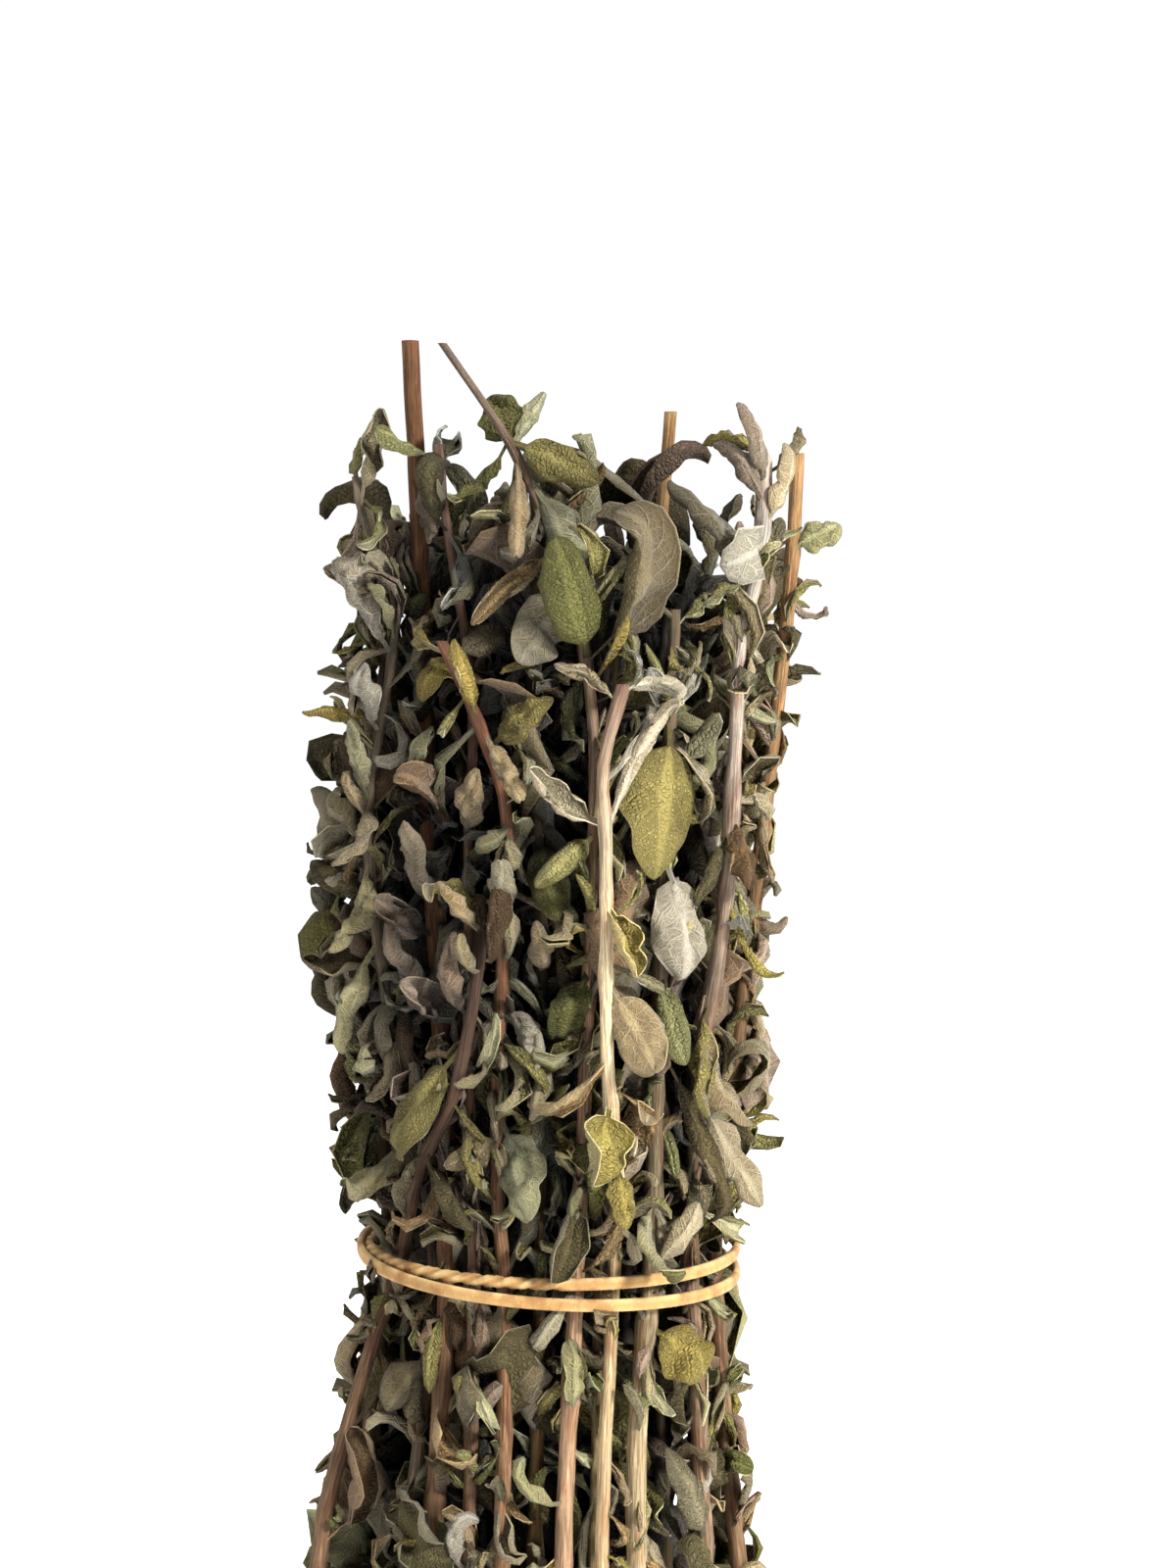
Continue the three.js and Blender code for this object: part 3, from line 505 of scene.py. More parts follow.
class Crowd:
    """All that stands already: each thing's points, their room, its owner and its box."""

    def __init__(self):
        self.things = []
        self.lows = np.zeros((MOST_THINGS, 3))
        self.highs = np.zeros((MOST_THINGS, 3))

    def add(self, points, room, owner):
        count = len(self.things)
        self.lows[count], self.highs[count] = points.min(0), points.max(0)
        self.things.append((points, np.full(len(points), room), owner))

    def clear_of(self, points, near, owner, share):
        low, high = points.min(0) - ROUND_ABOUT, points.max(0) + ROUND_ABOUT
        count = len(self.things)
        close = (self.lows[:count] < high).all(1) & (self.highs[:count] > low).all(1)
        for k in np.flatnonzero(close).tolist():
            standing, rooms, whose = self.things[k]
            gap = (LEAF_REACH + rooms) * (OWN_SHARE if whose == owner else 1) * share
            tested = points[~near] if whose == owner else points
            apart = ((tested[:, None] - standing[None]) ** 2).sum(-1)
            if (apart < gap**2).any():
                return False
        return True


def draw_leaf(draw, stem, height, heading, kind, shrink):
    length = between(draw, *kind["length"]) * shrink
    width = length * between(draw, *kind.get("slim", SLIM))
    drooping, rising = kind.get("climbs", (DROOPING, RISING))
    climbs, upper_side_out = drooping if draw() < kind["drooping"] else rising
    azimuth = heading + math.radians(between(draw, -STRAY, STRAY))
    climb = math.radians(between(draw, *climbs))
    flat = length * math.cos(climb)
    chord = np.array(
        [flat * math.sin(azimuth), -flat * math.cos(azimuth), length * math.sin(climb)]
    )
    shows = 1 if draw() < upper_side_out else -1
    convex = 1 if draw() < ROLLED_UNDER else -1
    spin = math.radians(between(draw, -SPIN, SPIN))
    roll = -shows * convex * math.radians(between(draw, *kind.get("roll", ROLL)))
    bend = math.radians(between(draw, *kind.get("bend", BEND))) * (1 if draw() < 0.5 else -1)
    twist = math.radians(between(draw, -TWIST, TWIST))
    return make_leaf(stem, height, chord, width, shows, spin, roll, bend, twist)


crowd = Crowd()
for i, stem in enumerate(stems):
    heights = np.arange(0, stem_top(stem) + 1e-9, STEM_STEP)
    crowd.add(stem_at(stem, heights), stem_radius(stem, heights) + STEM_GAP, i)
crowd.add(band_line(np.arange(BAND_SAMPLES) / BAND_SAMPLES), BAND_WIDE / 2 + STEM_GAP, BAND_OWNER)
for i, own in enumerate(leaves):
    for leaf in own:
        crowd.add(leaf_samples(leaf)[0], LEAF_REACH, i)


def grow(i, draw, height, heading, kind, tries=TRIES, share=1.0, ease=0.0, fits=None):
    """Tries a leaf on stem i until one is clear, each try smaller than the one before."""
    for attempt in range(tries):
        shrink = 1 - SHRINK * attempt / tries
        leaf = draw_leaf(draw, stems[i], height, heading, kind, shrink)
        points, near = leaf_samples(leaf)
        if fits and not fits(points):
            continue
        if in_envelope(points, ease) and crowd.clear_of(points, near, i, share):
            leaves[i].append(leaf | dict(kind=kind["name"]))
            crowd.add(points, LEAF_REACH, i)
            return


def outward(stem, height):
    x, y, _ = stem_at(stem, float(height))
    return math.atan2(x, -y)


def bare_height(stem):
    return stem.get("bare", OUTER_BARE)


streams = [draws(PAIR_SEED + i) for i in range(len(stems))]
for i, (stem, draw) in enumerate(zip(stems, streams)):
    top = stem_top(stem)
    quarter = draw() * math.pi
    height = bare_height(stem)
    while height < top - TOP_FREE:
        turn = PAIR_TURN[0] + (PAIR_TURN[1] - PAIR_TURN[0]) * abs(math.sin(quarter))
        for side in (-turn, turn):
            grow(i, draw, height, outward(stem, height) + side, PAIRED)
        quarter += math.pi / 2
        height += between(draw, *NODE_GAP)
    for k in range(0 if stem.get("cut") else TUFT_LEAVES):
        height = top - TUFT_BELOW - TUFT_GAP * k
        grow(i, draw, height, draw() * 2 * math.pi, TUFTED)
for i, (stem, draw) in enumerate(zip(stems, streams)):
    for _ in range(LOW_LEAVES if bare_height(stem) < WAIST_HEIGHT else 0):
        height = between(draw, *LOW_HEIGHT)
        grow(i, draw, height, outward(stem, height), PAIRED)


# ---- Small leaves ------------------------------------------------------------------------------
# Side shoots carry many leaves that have shrunk and rolled up, and they fill the bunch between the
# others. They lie mostly along the stems and leave the crown open. Where a front stem, the band or a
# listed leaf is in plain sight, none covers it.
STEEP = (((-85, -25), 0.6), ((35, 85), 0.4))
SMALL = dict(
    name="small", length=(12, 30), drooping=0.5, climbs=STEEP, roll=(90, 340), bend=(15, 130),
    slim=(0.3, 0.52),
)
SMALL_STEP, SMALL_SEED, SMALL_TRIES, SMALL_SHARE, SMALL_EASE = 2.6, 20000, 12, 0.3, 1.5
SMALL_FROM, SMALL_TO = -14, -4  # from the lowest pair of leaves to the stem's top
SMALL_TURN = math.radians(115)
STEP_STRAY = (0.6, 1.4)
BARE_SHARE = 0.55  # of the small leaves that grow below the band
CROWN = [  # x, how high the small leaves reach
    (-60, 246), (-46, 250), (-38, 266), (-20, 264), (-8, 272), (4, 286), (16, 272), (23, 262),
    (26, 246), (33, 246), (37, 272), (52, 264), (60, 262),
]
SIGHT_GAP = 1.5
SIGHT_WIDTH = 6  # slimmer listed leaves may be covered
SIGHT_STEP, BAND_SIGHT_STEP = 1.0, 0.002
FAR_IN_FRONT = -999
in_sight = {}  # the nearest y in each square millimetre of x and z that stays in plain sight


def keep_in_sight(points, spread):
    near = range(-spread, spread + 1)
    for x, y, z in points:
        for square in ((round(x + dx), round(z + dz)) for dx in near for dz in near):
            in_sight[square] = min(y, in_sight.get(square, y))


def covers_sight(points):
    squares = zip(*np.rint(points[:, [0, 2]]).astype(int).T.tolist())
    nearest = [in_sight.get(square, FAR_IN_FRONT) + SIGHT_GAP for square in squares]
    return any(y < limit for y, limit in zip(points[:, 1], nearest))


def fills(points):
    """Whether a small leaf may stand here."""
    open_crown = points[:, 2] < np.interp(points[:, 0], *np.array(CROWN).T)
    return bool(open_crown.all()) and not covers_sight(points)


keep_in_sight(band_line(np.arange(0, 1, BAND_SIGHT_STEP)), 1)
for stem, own in zip(stems, leaves):
    for low, high in stem.get("seen", []):
        keep_in_sight(stem_at(stem, np.arange(low, high, SIGHT_STEP)), 1)
    for leaf in own:
        if leaf["kind"] == "hand" and leaf["width"] > SIGHT_WIDTH:
            keep_in_sight(leaf_samples(leaf)[0], 0)
for i, stem in enumerate(stems):
    draw = draws(SMALL_SEED + i)
    height = bare_height(stem) + SMALL_FROM
    while height < stem_top(stem) + SMALL_TO:
        heading = outward(stem, height) + between(draw, -SMALL_TURN, SMALL_TURN)
        if draw() < BARE_SHARE or height > WAIST_HEIGHT:
            grow(i, draw, height, heading, SMALL, SMALL_TRIES, SMALL_SHARE, SMALL_EASE, fills)
        height += SMALL_STEP * between(draw, *STEP_STRAY)


# ---- Leaves of the inside ----------------------------------------------------------------------
# Broader, flatter leaves that the outer ones have pressed against the stems. Only their edges can be
# seen between the others, dark with painted shade, and they close the bunch against the light.
INNER = dict(
    name="inner", length=(20, 36), drooping=0.5, climbs=STEEP, roll=(60, 200), bend=(15, 70),
    slim=(0.7, 0.95),
)
INNER_STEP, INNER_SEED, INNER_TRIES, INNER_SHARE = 12, 30000, 4, 0.2
INNER_FROM, INNER_TO = 8, -12

for i, stem in enumerate(stems):
    draw = draws(INNER_SEED + i)
    height = INNER_FROM
    while height < stem_top(stem) + INNER_TO:
        turn = draw() * 2 * math.pi
        grow(i, draw, height, turn, INNER, INNER_TRIES, INNER_SHARE, 0, fills)
        height += INNER_STEP * between(draw, *STEP_STRAY)


# ---- Leaf finishes -----------------------------------------------------------------------------
# A sage leaf has a pebbled olive upper face, its veins sunk in it, and a felted grey-green under face
# where they stand out. Its margin is finely scalloped and pale, partly from its felt and partly as a
# painted highlight where light catches the edge. Blade runs over the leaf from 0 to 1, and Felt is in
# millimetres, for the net of veins.
RIBS = 8.0  # side veins on each half of a leaf
RIB_SLANT = 0.26  # how far a side vein climbs from the midrib to the margin
VEINING = {"Rib count": RIBS, "Fine net": 1.25, "Coarse net": 0.55}  # nets in cells a millimetre


def put(tree, socket, value):
    """Feeds a socket from another socket, or sets its number or colour."""
    if isinstance(value, bpy.types.NodeSocket):
        tree.links.new(value, socket)
    else:
        socket.default_value = value


def maths(tree, operation, *values):
    made = tree.nodes.new("ShaderNodeMath")
    made.operation = operation
    for socket, value in zip(made.inputs, values):
        put(tree, socket, value)
    return made.outputs[0]


def step_up(tree, value, low, high):
    """0 below low, 1 above high and smooth between, or the reverse where low is above high."""
    made = tree.nodes.new("ShaderNodeMapRange")
    made.interpolation_type = "SMOOTHSTEP"
    rising = not isinstance(low, (int, float)) or low < high
    put(tree, made.inputs["Value"], value)
    put(tree, made.inputs["From Min"], low if rising else high)
    put(tree, made.inputs["From Max"], high if rising else low)
    made.inputs["To Min"].default_value = 0 if rising else 1
    made.inputs["To Max"].default_value = 1 if rising else 0
    return made.outputs["Result"]


def mixed(tree, factor, a, b, blend="MIX"):
    made = tree.nodes.new("ShaderNodeMix")
    made.data_type = "RGBA"
    made.blend_type = blend
    put(tree, made.inputs[0], factor)
    put(tree, made.inputs[6], a)
    put(tree, made.inputs[7], b)
    return made.outputs[2]


def noise_of(tree, place, scale, detail=3, rough=0.55):
    made = tree.nodes.new("ShaderNodeTexNoise")
    put(tree, made.inputs["Vector"], place)
    made.inputs["Scale"].default_value = scale
    made.inputs["Detail"].default_value = detail
    made.inputs["Roughness"].default_value = rough
    return made.outputs["Fac"]


def stretched(tree, place, scale):
    made = tree.nodes.new("ShaderNodeMapping")
    put(tree, made.inputs["Vector"], place)
    made.inputs["Scale"].default_value = scale
    return made.outputs["Vector"]


def uv_of(tree, name):
    made = tree.nodes.new("ShaderNodeUVMap")
    made.uv_map = name
    return made.outputs["UV"]


def parts_of(tree, vector):
    made = tree.nodes.new("ShaderNodeSeparateXYZ")
    put(tree, made.inputs[0], vector)
    return made.outputs


def object_place(tree):
    return tree.nodes.new("ShaderNodeTexCoord").outputs["Object"]


def tint_of(tree, name="tint"):
    made = tree.nodes.new("ShaderNodeAttribute")
    made.attribute_name = name
    return made.outputs["Color"]


def linear(rgb):
    """A colour of 0 to 255 as the linear one that a finish takes."""
    return [((c / 255 + 0.055) / 1.055) ** 2.4 if c > 10 else c / 255 / 12.92 for c in rgb]


def new_group(name, inputs, outputs):
    """An empty shader node group with these inputs and outputs, each a single number."""
    tree = bpy.data.node_groups.new(name, "ShaderNodeTree")
    for in_out, labels in (("INPUT", inputs), ("OUTPUT", outputs)):
        for label in labels:
            tree.interface.new_socket(name=label, in_out=in_out, socket_type="NodeSocketFloat")
    given = tree.nodes.new("NodeGroupInput").outputs
    return tree, given, tree.nodes.new("NodeGroupOutput").inputs


def use_group(tree, group, values):
    made = tree.nodes.new("ShaderNodeGroup")
    made.node_tree = group
    for label, value in values.items():
        made.inputs[label].default_value = value
    return made.outputs


def new_material(name, roughness):
    made = bpy.data.materials.new(name)
    made.use_nodes = True
    surface = made.node_tree.nodes["Principled BSDF"]
    surface.inputs["Roughness"].default_value = roughness
    surface.inputs["Specular IOR Level"].default_value = 0.25
    return made, made.node_tree, surface.inputs


def bump(tree, height, strength, distance):
    made = tree.nodes.new("ShaderNodeBump")
    made.inputs["Strength"].default_value = strength
    made.inputs["Distance"].default_value = distance
    put(tree, made.inputs["Height"], height)
    return made.outputs["Normal"]


def cell_edges(tree, place, scale):
    net = tree.nodes.new("ShaderNodeTexVoronoi")
    net.feature = "DISTANCE_TO_EDGE"
    net.voronoi_dimensions = "2D"
    put(tree, net.inputs["Scale"], scale)
    put(tree, net.inputs["Vector"], place)
    return net.outputs["Distance"]


def vein_group():
    tree, given, outputs = new_group(
        "sage veins", list(VEINING), ["Ribs", "Net", "Cell", "Margin", "Hair"]
    )
    across, up, _ = parts_of(tree, uv_of(tree, "Blade"))
    felt = uv_of(tree, "Felt")
    aside = maths(tree, "ABSOLUTE", maths(tree, "MULTIPLY_ADD", across, 2.0, -1.0))
    wander = maths(tree, "MULTIPLY_ADD", noise_of(tree, felt, 0.25), 0.05, -0.025)
    midrib = step_up(tree, aside, 0.16, 0.05)
    climb = maths(tree, "SUBTRACT", up, maths(tree, "MULTIPLY", aside, RIB_SLANT))
    other_half = maths(tree, "GREATER_THAN", across, 0.5)
    phase = maths(tree, "MULTIPLY", maths(tree, "ADD", climb, wander), given["Rib count"])
    phase = maths(tree, "MULTIPLY_ADD", other_half, 0.45, phase)
    saw = maths(tree, "ABSOLUTE", maths(tree, "SUBTRACT", maths(tree, "FRACT", phase), 0.5))
    thin_out = step_up(tree, aside, 1.0, 0.55)
    side = maths(tree, "MULTIPLY", step_up(tree, saw, 0.09, 0.02), thin_out)
    side = maths(tree, "MULTIPLY", side, step_up(tree, up, 0.2, 0.3))
    fine = cell_edges(tree, felt, given["Fine net"])
    coarse = cell_edges(tree, felt, given["Coarse net"])
    net = maths(tree, "MAXIMUM", maths(tree, "MULTIPLY", step_up(tree, fine, 0.13, 0.03), 0.7),
                step_up(tree, coarse, 0.08, 0.02))
    puffed = maths(tree, "MULTIPLY", step_up(tree, fine, 0.0, 0.3),
                   step_up(tree, coarse, -0.05, 0.22))
    put(tree, outputs["Ribs"], maths(tree, "MAXIMUM", midrib, side))
    put(tree, outputs["Net"], net)
    put(tree, outputs["Cell"], puffed)
    # The margin, for a pale felt rim that is partly a painted highlight.
    put(tree, outputs["Margin"], step_up(tree, aside, 0.86, 0.97))
    put(tree, outputs["Hair"], noise_of(tree, stretched(tree, felt, (1, 3, 1)), 5.0, 4, 0.7))
    return tree


veins = vein_group()


def scaled(tree, colour, factor):
    made = tree.nodes.new("ShaderNodeVectorMath")
    made.operation = "SCALE"
    put(tree, made.inputs[0], colour)
    put(tree, made.inputs["Scale"], factor)
    return made.outputs[0]


def veiled(tree, colour, where, share, over):
    """A colour with a share of another one over it."""
    return mixed(tree, maths(tree, "MULTIPLY", where, share), colour, over)


def upper_finish():
    made, tree, surface = new_material("leaf upper side", 0.85)
    found = use_group(tree, veins, VEINING)
    tint = tint_of(tree)
    place = object_place(tree)
    # Painted shade in the sunk net of veins, and each puffed cell painted lighter on top.
    pebbled = maths(tree, "MULTIPLY_ADD", found["Cell"], 0.22, 0.84)
    pebbled = maths(tree, "MULTIPLY_ADD", found["Net"], -0.16, pebbled)
    colour = scaled(tree, tint, pebbled)
    browned = step_up(tree, noise_of(tree, place, 90.0, 5, 0.65), 0.5, 0.66)
    colour = veiled(tree, colour, browned, 0.6, scaled(tree, colour, 0.5))
    colour = veiled(tree, colour, found["Ribs"], 0.7, scaled(tree, tint, 1.45))
    # Partly pale felt and partly painted highlight: the upper side's margin is painted lighter.
    colour = veiled(tree, colour, found["Margin"], 0.65, scaled(tree, tint, 1.9))
    haired = maths(tree, "MULTIPLY", step_up(tree, found["Hair"], 0.45, 0.75), 0.35)
    colour = mixed(tree, haired, colour, scaled(tree, tint, 1.6))
    put(tree, surface["Base Color"], colour)
    sunk = maths(tree, "SUBTRACT", found["Cell"], found["Ribs"])
    height = maths(tree, "MULTIPLY_ADD", found["Hair"], 0.35, sunk)
    put(tree, surface["Normal"], bump(tree, height, 1.0, 0.8 * MM))
    return made


def under_finish():
    made, tree, surface = new_material("leaf under side", 0.95)
    found = use_group(tree, veins, VEINING)
    place = object_place(tree)
    tint = tint_of(tree, "under tint")
    colour = mixed(tree, 1.0, tint, (0.72, 0.66, 0.54, 1), "MULTIPLY")
    patches = step_up(tree, noise_of(tree, place, 80.0, 5, 0.65), 0.45, 0.68)
    colour = veiled(tree, colour, patches, 0.6, scaled(tree, colour, 0.55))
    colour = veiled(tree, colour, found["Net"], 0.7, scaled(tree, tint, 1.4))
    colour = veiled(tree, colour, found["Ribs"], 0.7, scaled(tree, tint, 1.5))
    # Partly pale felt and partly painted highlight: the under side's margin is painted lighter.
    colour = veiled(tree, colour, found["Margin"], 0.6, scaled(tree, tint, 1.8))
    haired = maths(tree, "MULTIPLY", step_up(tree, found["Hair"], 0.4, 0.75), 0.4)
    colour = mixed(tree, haired, colour, scaled(tree, tint, 1.5))
    put(tree, surface["Base Color"], colour)
    raised = maths(tree, "MULTIPLY_ADD", found["Net"], 0.5, found["Ribs"])
    height = maths(tree, "MULTIPLY_ADD", found["Hair"], 0.45, raised)
    put(tree, surface["Normal"], bump(tree, height, 1.0, 0.8 * MM))
    surface["Sheen Weight"].default_value = 0.15
    surface["Sheen Roughness"].default_value = 0.4
    return made


# ---- Stem finishes -----------------------------------------------------------------------------
# Dry sage bark is streaked along the stem, brown in its furrows and grey where its felt is left.
# The cut ends show pale wood round a brown pith.
PITH, PALE_WOOD = (150, 118, 78), (206, 180, 136)


def bark_finish():
    made, tree, surface = new_material("bark", 0.8)
    tint = tint_of(tree)
    grain = tree.nodes.new("ShaderNodeAttribute")
    grain.attribute_name = "grain"
    run = grain.outputs["Vector"]
    streaks = noise_of(tree, stretched(tree, run, (1, 1, 0.07)), 1.6, 5, 0.7)
    furrow = step_up(tree, streaks, 0.6, 0.4)
    colour = veiled(tree, tint, furrow, 0.85, scaled(tree, tint, 0.4))
    rust = step_up(tree, noise_of(tree, stretched(tree, run, (1, 1, 0.3)), 0.35, 3), 0.48, 0.62)
    redder = mixed(tree, 1.0, colour, (0.85, 0.62, 0.5, 1), "MULTIPLY")
    colour = veiled(tree, colour, rust, 0.7, redder)
    felt = step_up(tree, noise_of(tree, stretched(tree, run, (1, 1, 0.15)), 0.9, 4), 0.54, 0.68)
    colour = veiled(tree, colour, felt, 0.6, scaled(tree, tint, 1.7))
    put(tree, surface["Base Color"], colour)
    put(tree, surface["Normal"], bump(tree, streaks, 1.0, 0.6 * MM))
    return made


def cut_finish():
    made, tree, surface = new_material("cut wood", 0.85)
    place = object_place(tree)
    grain = noise_of(tree, place, 1800.0, 3)
    colour = mixed(tree, grain, (*linear(PITH), 1), (*linear(PALE_WOOD), 1))
    put(tree, surface["Base Color"], colour)
    put(tree, surface["Normal"], bump(tree, grain, 0.5, 0.2 * MM))
    return made


FINISHES = [upper_finish(), under_finish(), bark_finish(), cut_finish()]
UPPER, UNDER, BARK, CUT = range(4)


# ---- Leafy stems -------------------------------------------------------------------------------
# Each is one grown piece: a square, streaked stem, swollen where its leaves sit, and the leaves,
# whose blades are felted sheets rolled, creased, frilled at the margin and puckered. The blades are
# thin sheets first, and get their under sides together.
TONES = {  # upper side, under side
    "olive": ((134, 126, 74), (146, 136, 100)),
    "green": ((104, 102, 54), (138, 136, 96)),
    "pale green": ((138, 136, 88), (170, 166, 126)),
    "yellow": ((152, 136, 72), (176, 164, 112)),
    "grey": ((122, 112, 84), (160, 150, 122)),
    "silver": ((124, 119, 92), (162, 158, 144)),
    "cream": ((160, 148, 118), (194, 184, 160)),
    "tan": ((138, 114, 76), (160, 142, 106)),
    "brown": ((94, 72, 46), (130, 106, 76)),
    "purple": ((98, 82, 68), (138, 120, 100)),
    "dark": ((86, 78, 50), (118, 108, 80)),
}
TONES_OF = {
    "green": ["olive", "green", "olive", "pale green", "yellow", "tan", "green", "grey"],
    "grey": ["grey", "silver", "pale green", "purple", "grey", "olive", "pale green", "tan"],
    "brown": ["brown", "olive", "dark", "tan", "grey", "green", "purple", "olive"],
    "pale": ["tan", "pale green", "cream", "grey", "olive", "yellow", "silver", "tan"],
}
GRIDS = {  # faces across and along
    "hand": (12, 26), "full": (8, 15), "small": (6, 8), "inner": (4, 8)
}
THICKNESS = 0.5
STALK_ROWS = 3
TIP_HALF = 0.25
FLAT_WIDTH = 9  # the widest listed leaves have stayed flatter
STEM_SHARE = 0.86  # a stem's wood inside the room that the frame gives it
STALK_HALF = 0.65
# How far a leaf's tone strays at random, and how much lighter the painted shade is on the right side
# and towards the foot below the band.
TINT_STRAY, PAINTED_SIDE_LIGHT, PAINTED_LIGHT_BELOW_BAND = 0.18, 0.25, 0.35
CRUMPLES, CRUMPLE, NOTCH = 3, 0.6, 0.03
BLUNT = {"hand": 0.8, "full": 0.75, "small": 0.6, "inner": 0.6}
TIP_CURLS = {"hand": (-30, 110), "full": (-20, 150), "small": (10, 190), "inner": (0, 90)}
CURLS = {"hand": (40, 220), "full": (110, 320), "small": (70, 310), "inner": (0, 120)}
# Painted shade: inside DIM_FROM of the way out, a tint is painted down to its least share, and it
# comes back to its own tone at DIM_TO. It eases off above OPEN_FROM. The least shares are for leaves,
# for hidden bark and for bark in plain sight.
DIM_FROM, DIM_TO, OPEN_FROM = 0.56, 0.96, 246
DIM_LEAST, BARK_LEAST, SEEN_LEAST = 0.06, 0.12, 0.8
PALE_WIDTH = 12  # only slimmer leaves have bleached
UNBLEACHED = {
    "tan": "brown", "cream": "purple", "silver": "dark", "grey": "dark", "yellow": "olive",
    "pale green": "dark", "olive": "dark",
}
LOOK_SEED, TINT_SEED = 40000, 50000
STALK_SUNK, TIP_CROWDING = -0.03, 1.45  # the stalk starts a little inside the stem
NOTCHES, NOTCH_SHIFT = (4, 7), (0.2, 0.8)
FRILLS, FRILL_SHIFT, FRILL = (1.0, 2.6), (0.4, 2.6), (15, 60)
LOPSIDED, CURL_STRAY, CURL_FROM, CURL_EASE = 0.35, 0.6, 0.35, 1.6
CREASE, PUCKER, CRUMPLES_UP = (-5, 22), (0.1, 0.32), (0.8, 3.5)
FULL_WIDTH = 9  # slimmer blades pucker and crumple less
RIPPLE, RIPPLES, TIP_EASE, TWIST_STRAY = (5, 24), (1.2, 2.8), 3.5, 25
RING_GAP, STEM_SIDES = 5, 12
NODE_REACH, NODE_SWELL = 1.6, 0.32  # how far a stem swells round each leaf


def new_sprig_mesh():
    bm = bmesh.new()
    maps = [bm.loops.layers.uv.new(name) for name in ("Blade", "Felt")]
    tints = [bm.verts.layers.float_color.new(name) for name in ("tint", "under tint")]
    places = [bm.verts.layers.float_vector.new(name) for name in ("grain", "under side")]
    return bm, *maps, *tints, *places


def summed(slopes, across):
    """Running sums of slopes from one margin to the other."""
    steps = (slopes[:, 1:] + slopes[:, :-1]) / 2 * np.diff(across)
    return np.concatenate([np.zeros_like(slopes[:, :1]), np.cumsum(steps, axis=1)], axis=1)


def blade_grid(columns, rows):
    """Shares of a leaf's length, closer towards its tip, and places across, closer at its margins."""
    stalk = np.linspace(STALK_SUNK, PETIOLE_SHARE, STALK_ROWS, endpoint=False)
    blade = 1 - (1 - np.linspace(0, 1, rows + 1 - STALK_ROWS)) ** TIP_CROWDING
    share = np.concatenate([stalk, PETIOLE_SHARE + (1 - PETIOLE_SHARE) * blade])[:, None]
    across = np.sin(np.linspace(-np.pi / 2, np.pi / 2, columns + 1))[None, :]
    return share, across


def half_width(leaf, share, across, draw):
    """Half the width at each point, with a few shallow notches in the margin."""
    grown, hand = outline(share), np.sign(across)
    half = np.maximum(leaf["width"] / 2 * grown ** BLUNT[leaf["kind"]], STALK_HALF)
    half[-1] = TIP_HALF
    turns = between(draw, *NOTCHES) * share + between(draw, *NOTCH_SHIFT) * hand
    return half * (1 + NOTCH * np.sin(2 * np.pi * turns) * np.abs(across) * grown)


def section_angle(leaf, share, across, draw):
    """How far the blade has turned at each point: rolled, curled in at its margins, creased at the
    midrib and frilled."""
    aside, hand, grown = np.abs(across), np.sign(across), outline(share)
    frills, frill_turn = between(draw, *FRILLS), between(draw, 0, 2 * math.pi)
    waves = np.sin(2 * np.pi * frills * share + frill_turn + hand * between(draw, *FRILL_SHIFT))
    sense = np.sign(leaf["roll"])
    lopsided = 1 + between(draw, -LOPSIDED, LOPSIDED) * hand
    flat = min(1, FLAT_WIDTH / leaf["width"]) if leaf["kind"] == "hand" else 1
    curl = math.radians(between(draw, *CURLS[leaf["kind"]])) * flat**2
    curl = curl * (1 + between(draw, -CURL_STRAY, CURL_STRAY) * hand) * (0.7 + 0.3 * waves)
    curled = np.clip((aside - CURL_FROM) / (1 - CURL_FROM), 0, 1) ** CURL_EASE
    margin = sense * curl * hand * curled * grown
    crease = -sense * math.radians(between(draw, *CREASE)) * hand * np.minimum(aside * 4, 1)
    frill = math.radians(between(draw, *FRILL)) * flat * waves * aside**2 * hand * grown
    return leaf["roll"] / 2 * across * lopsided + margin + crease + frill


def blade_section(leaf, share, across, draw):
    """Each point's place across the blade and out of it, quilted between the ribs and crumpled."""
    half = half_width(leaf, share, across, draw)
    angle = section_angle(leaf, share, across, draw)
    aside, hand, grown = np.abs(across), np.sign(across), outline(share)
    middle = across.size // 2
    wide, deep = summed(np.cos(angle), across), summed(np.sin(angle), across)
    wide = (wide - wide[:, middle : middle + 1]) * half
    deep = (deep - deep[:, middle : middle + 1]) * half
    pucker = between(draw, *PUCKER) * min(1, leaf["width"] / FULL_WIDTH)
    quilts = np.sin(2 * np.pi * (RIBS * (share - RIB_SLANT * aside) + 0.2 * hand))
    deep = deep + pucker * quilts * np.sin(np.pi * np.minimum(aside * 1.1, 1)) * grown
    crumple = CRUMPLE * np.clip(leaf["width"] / FULL_WIDTH, 0.8, 1.8)
    for _ in range(CRUMPLES):
        up_turns, cross_turns = between(draw, *CRUMPLES_UP), between(draw, -1.6, 1.6)
        phase = up_turns * share + cross_turns * across + draw()
        deep = deep + crumple * between(draw, 0.4, 1) * np.sin(2 * np.pi * phase) * grown
    return wide, deep


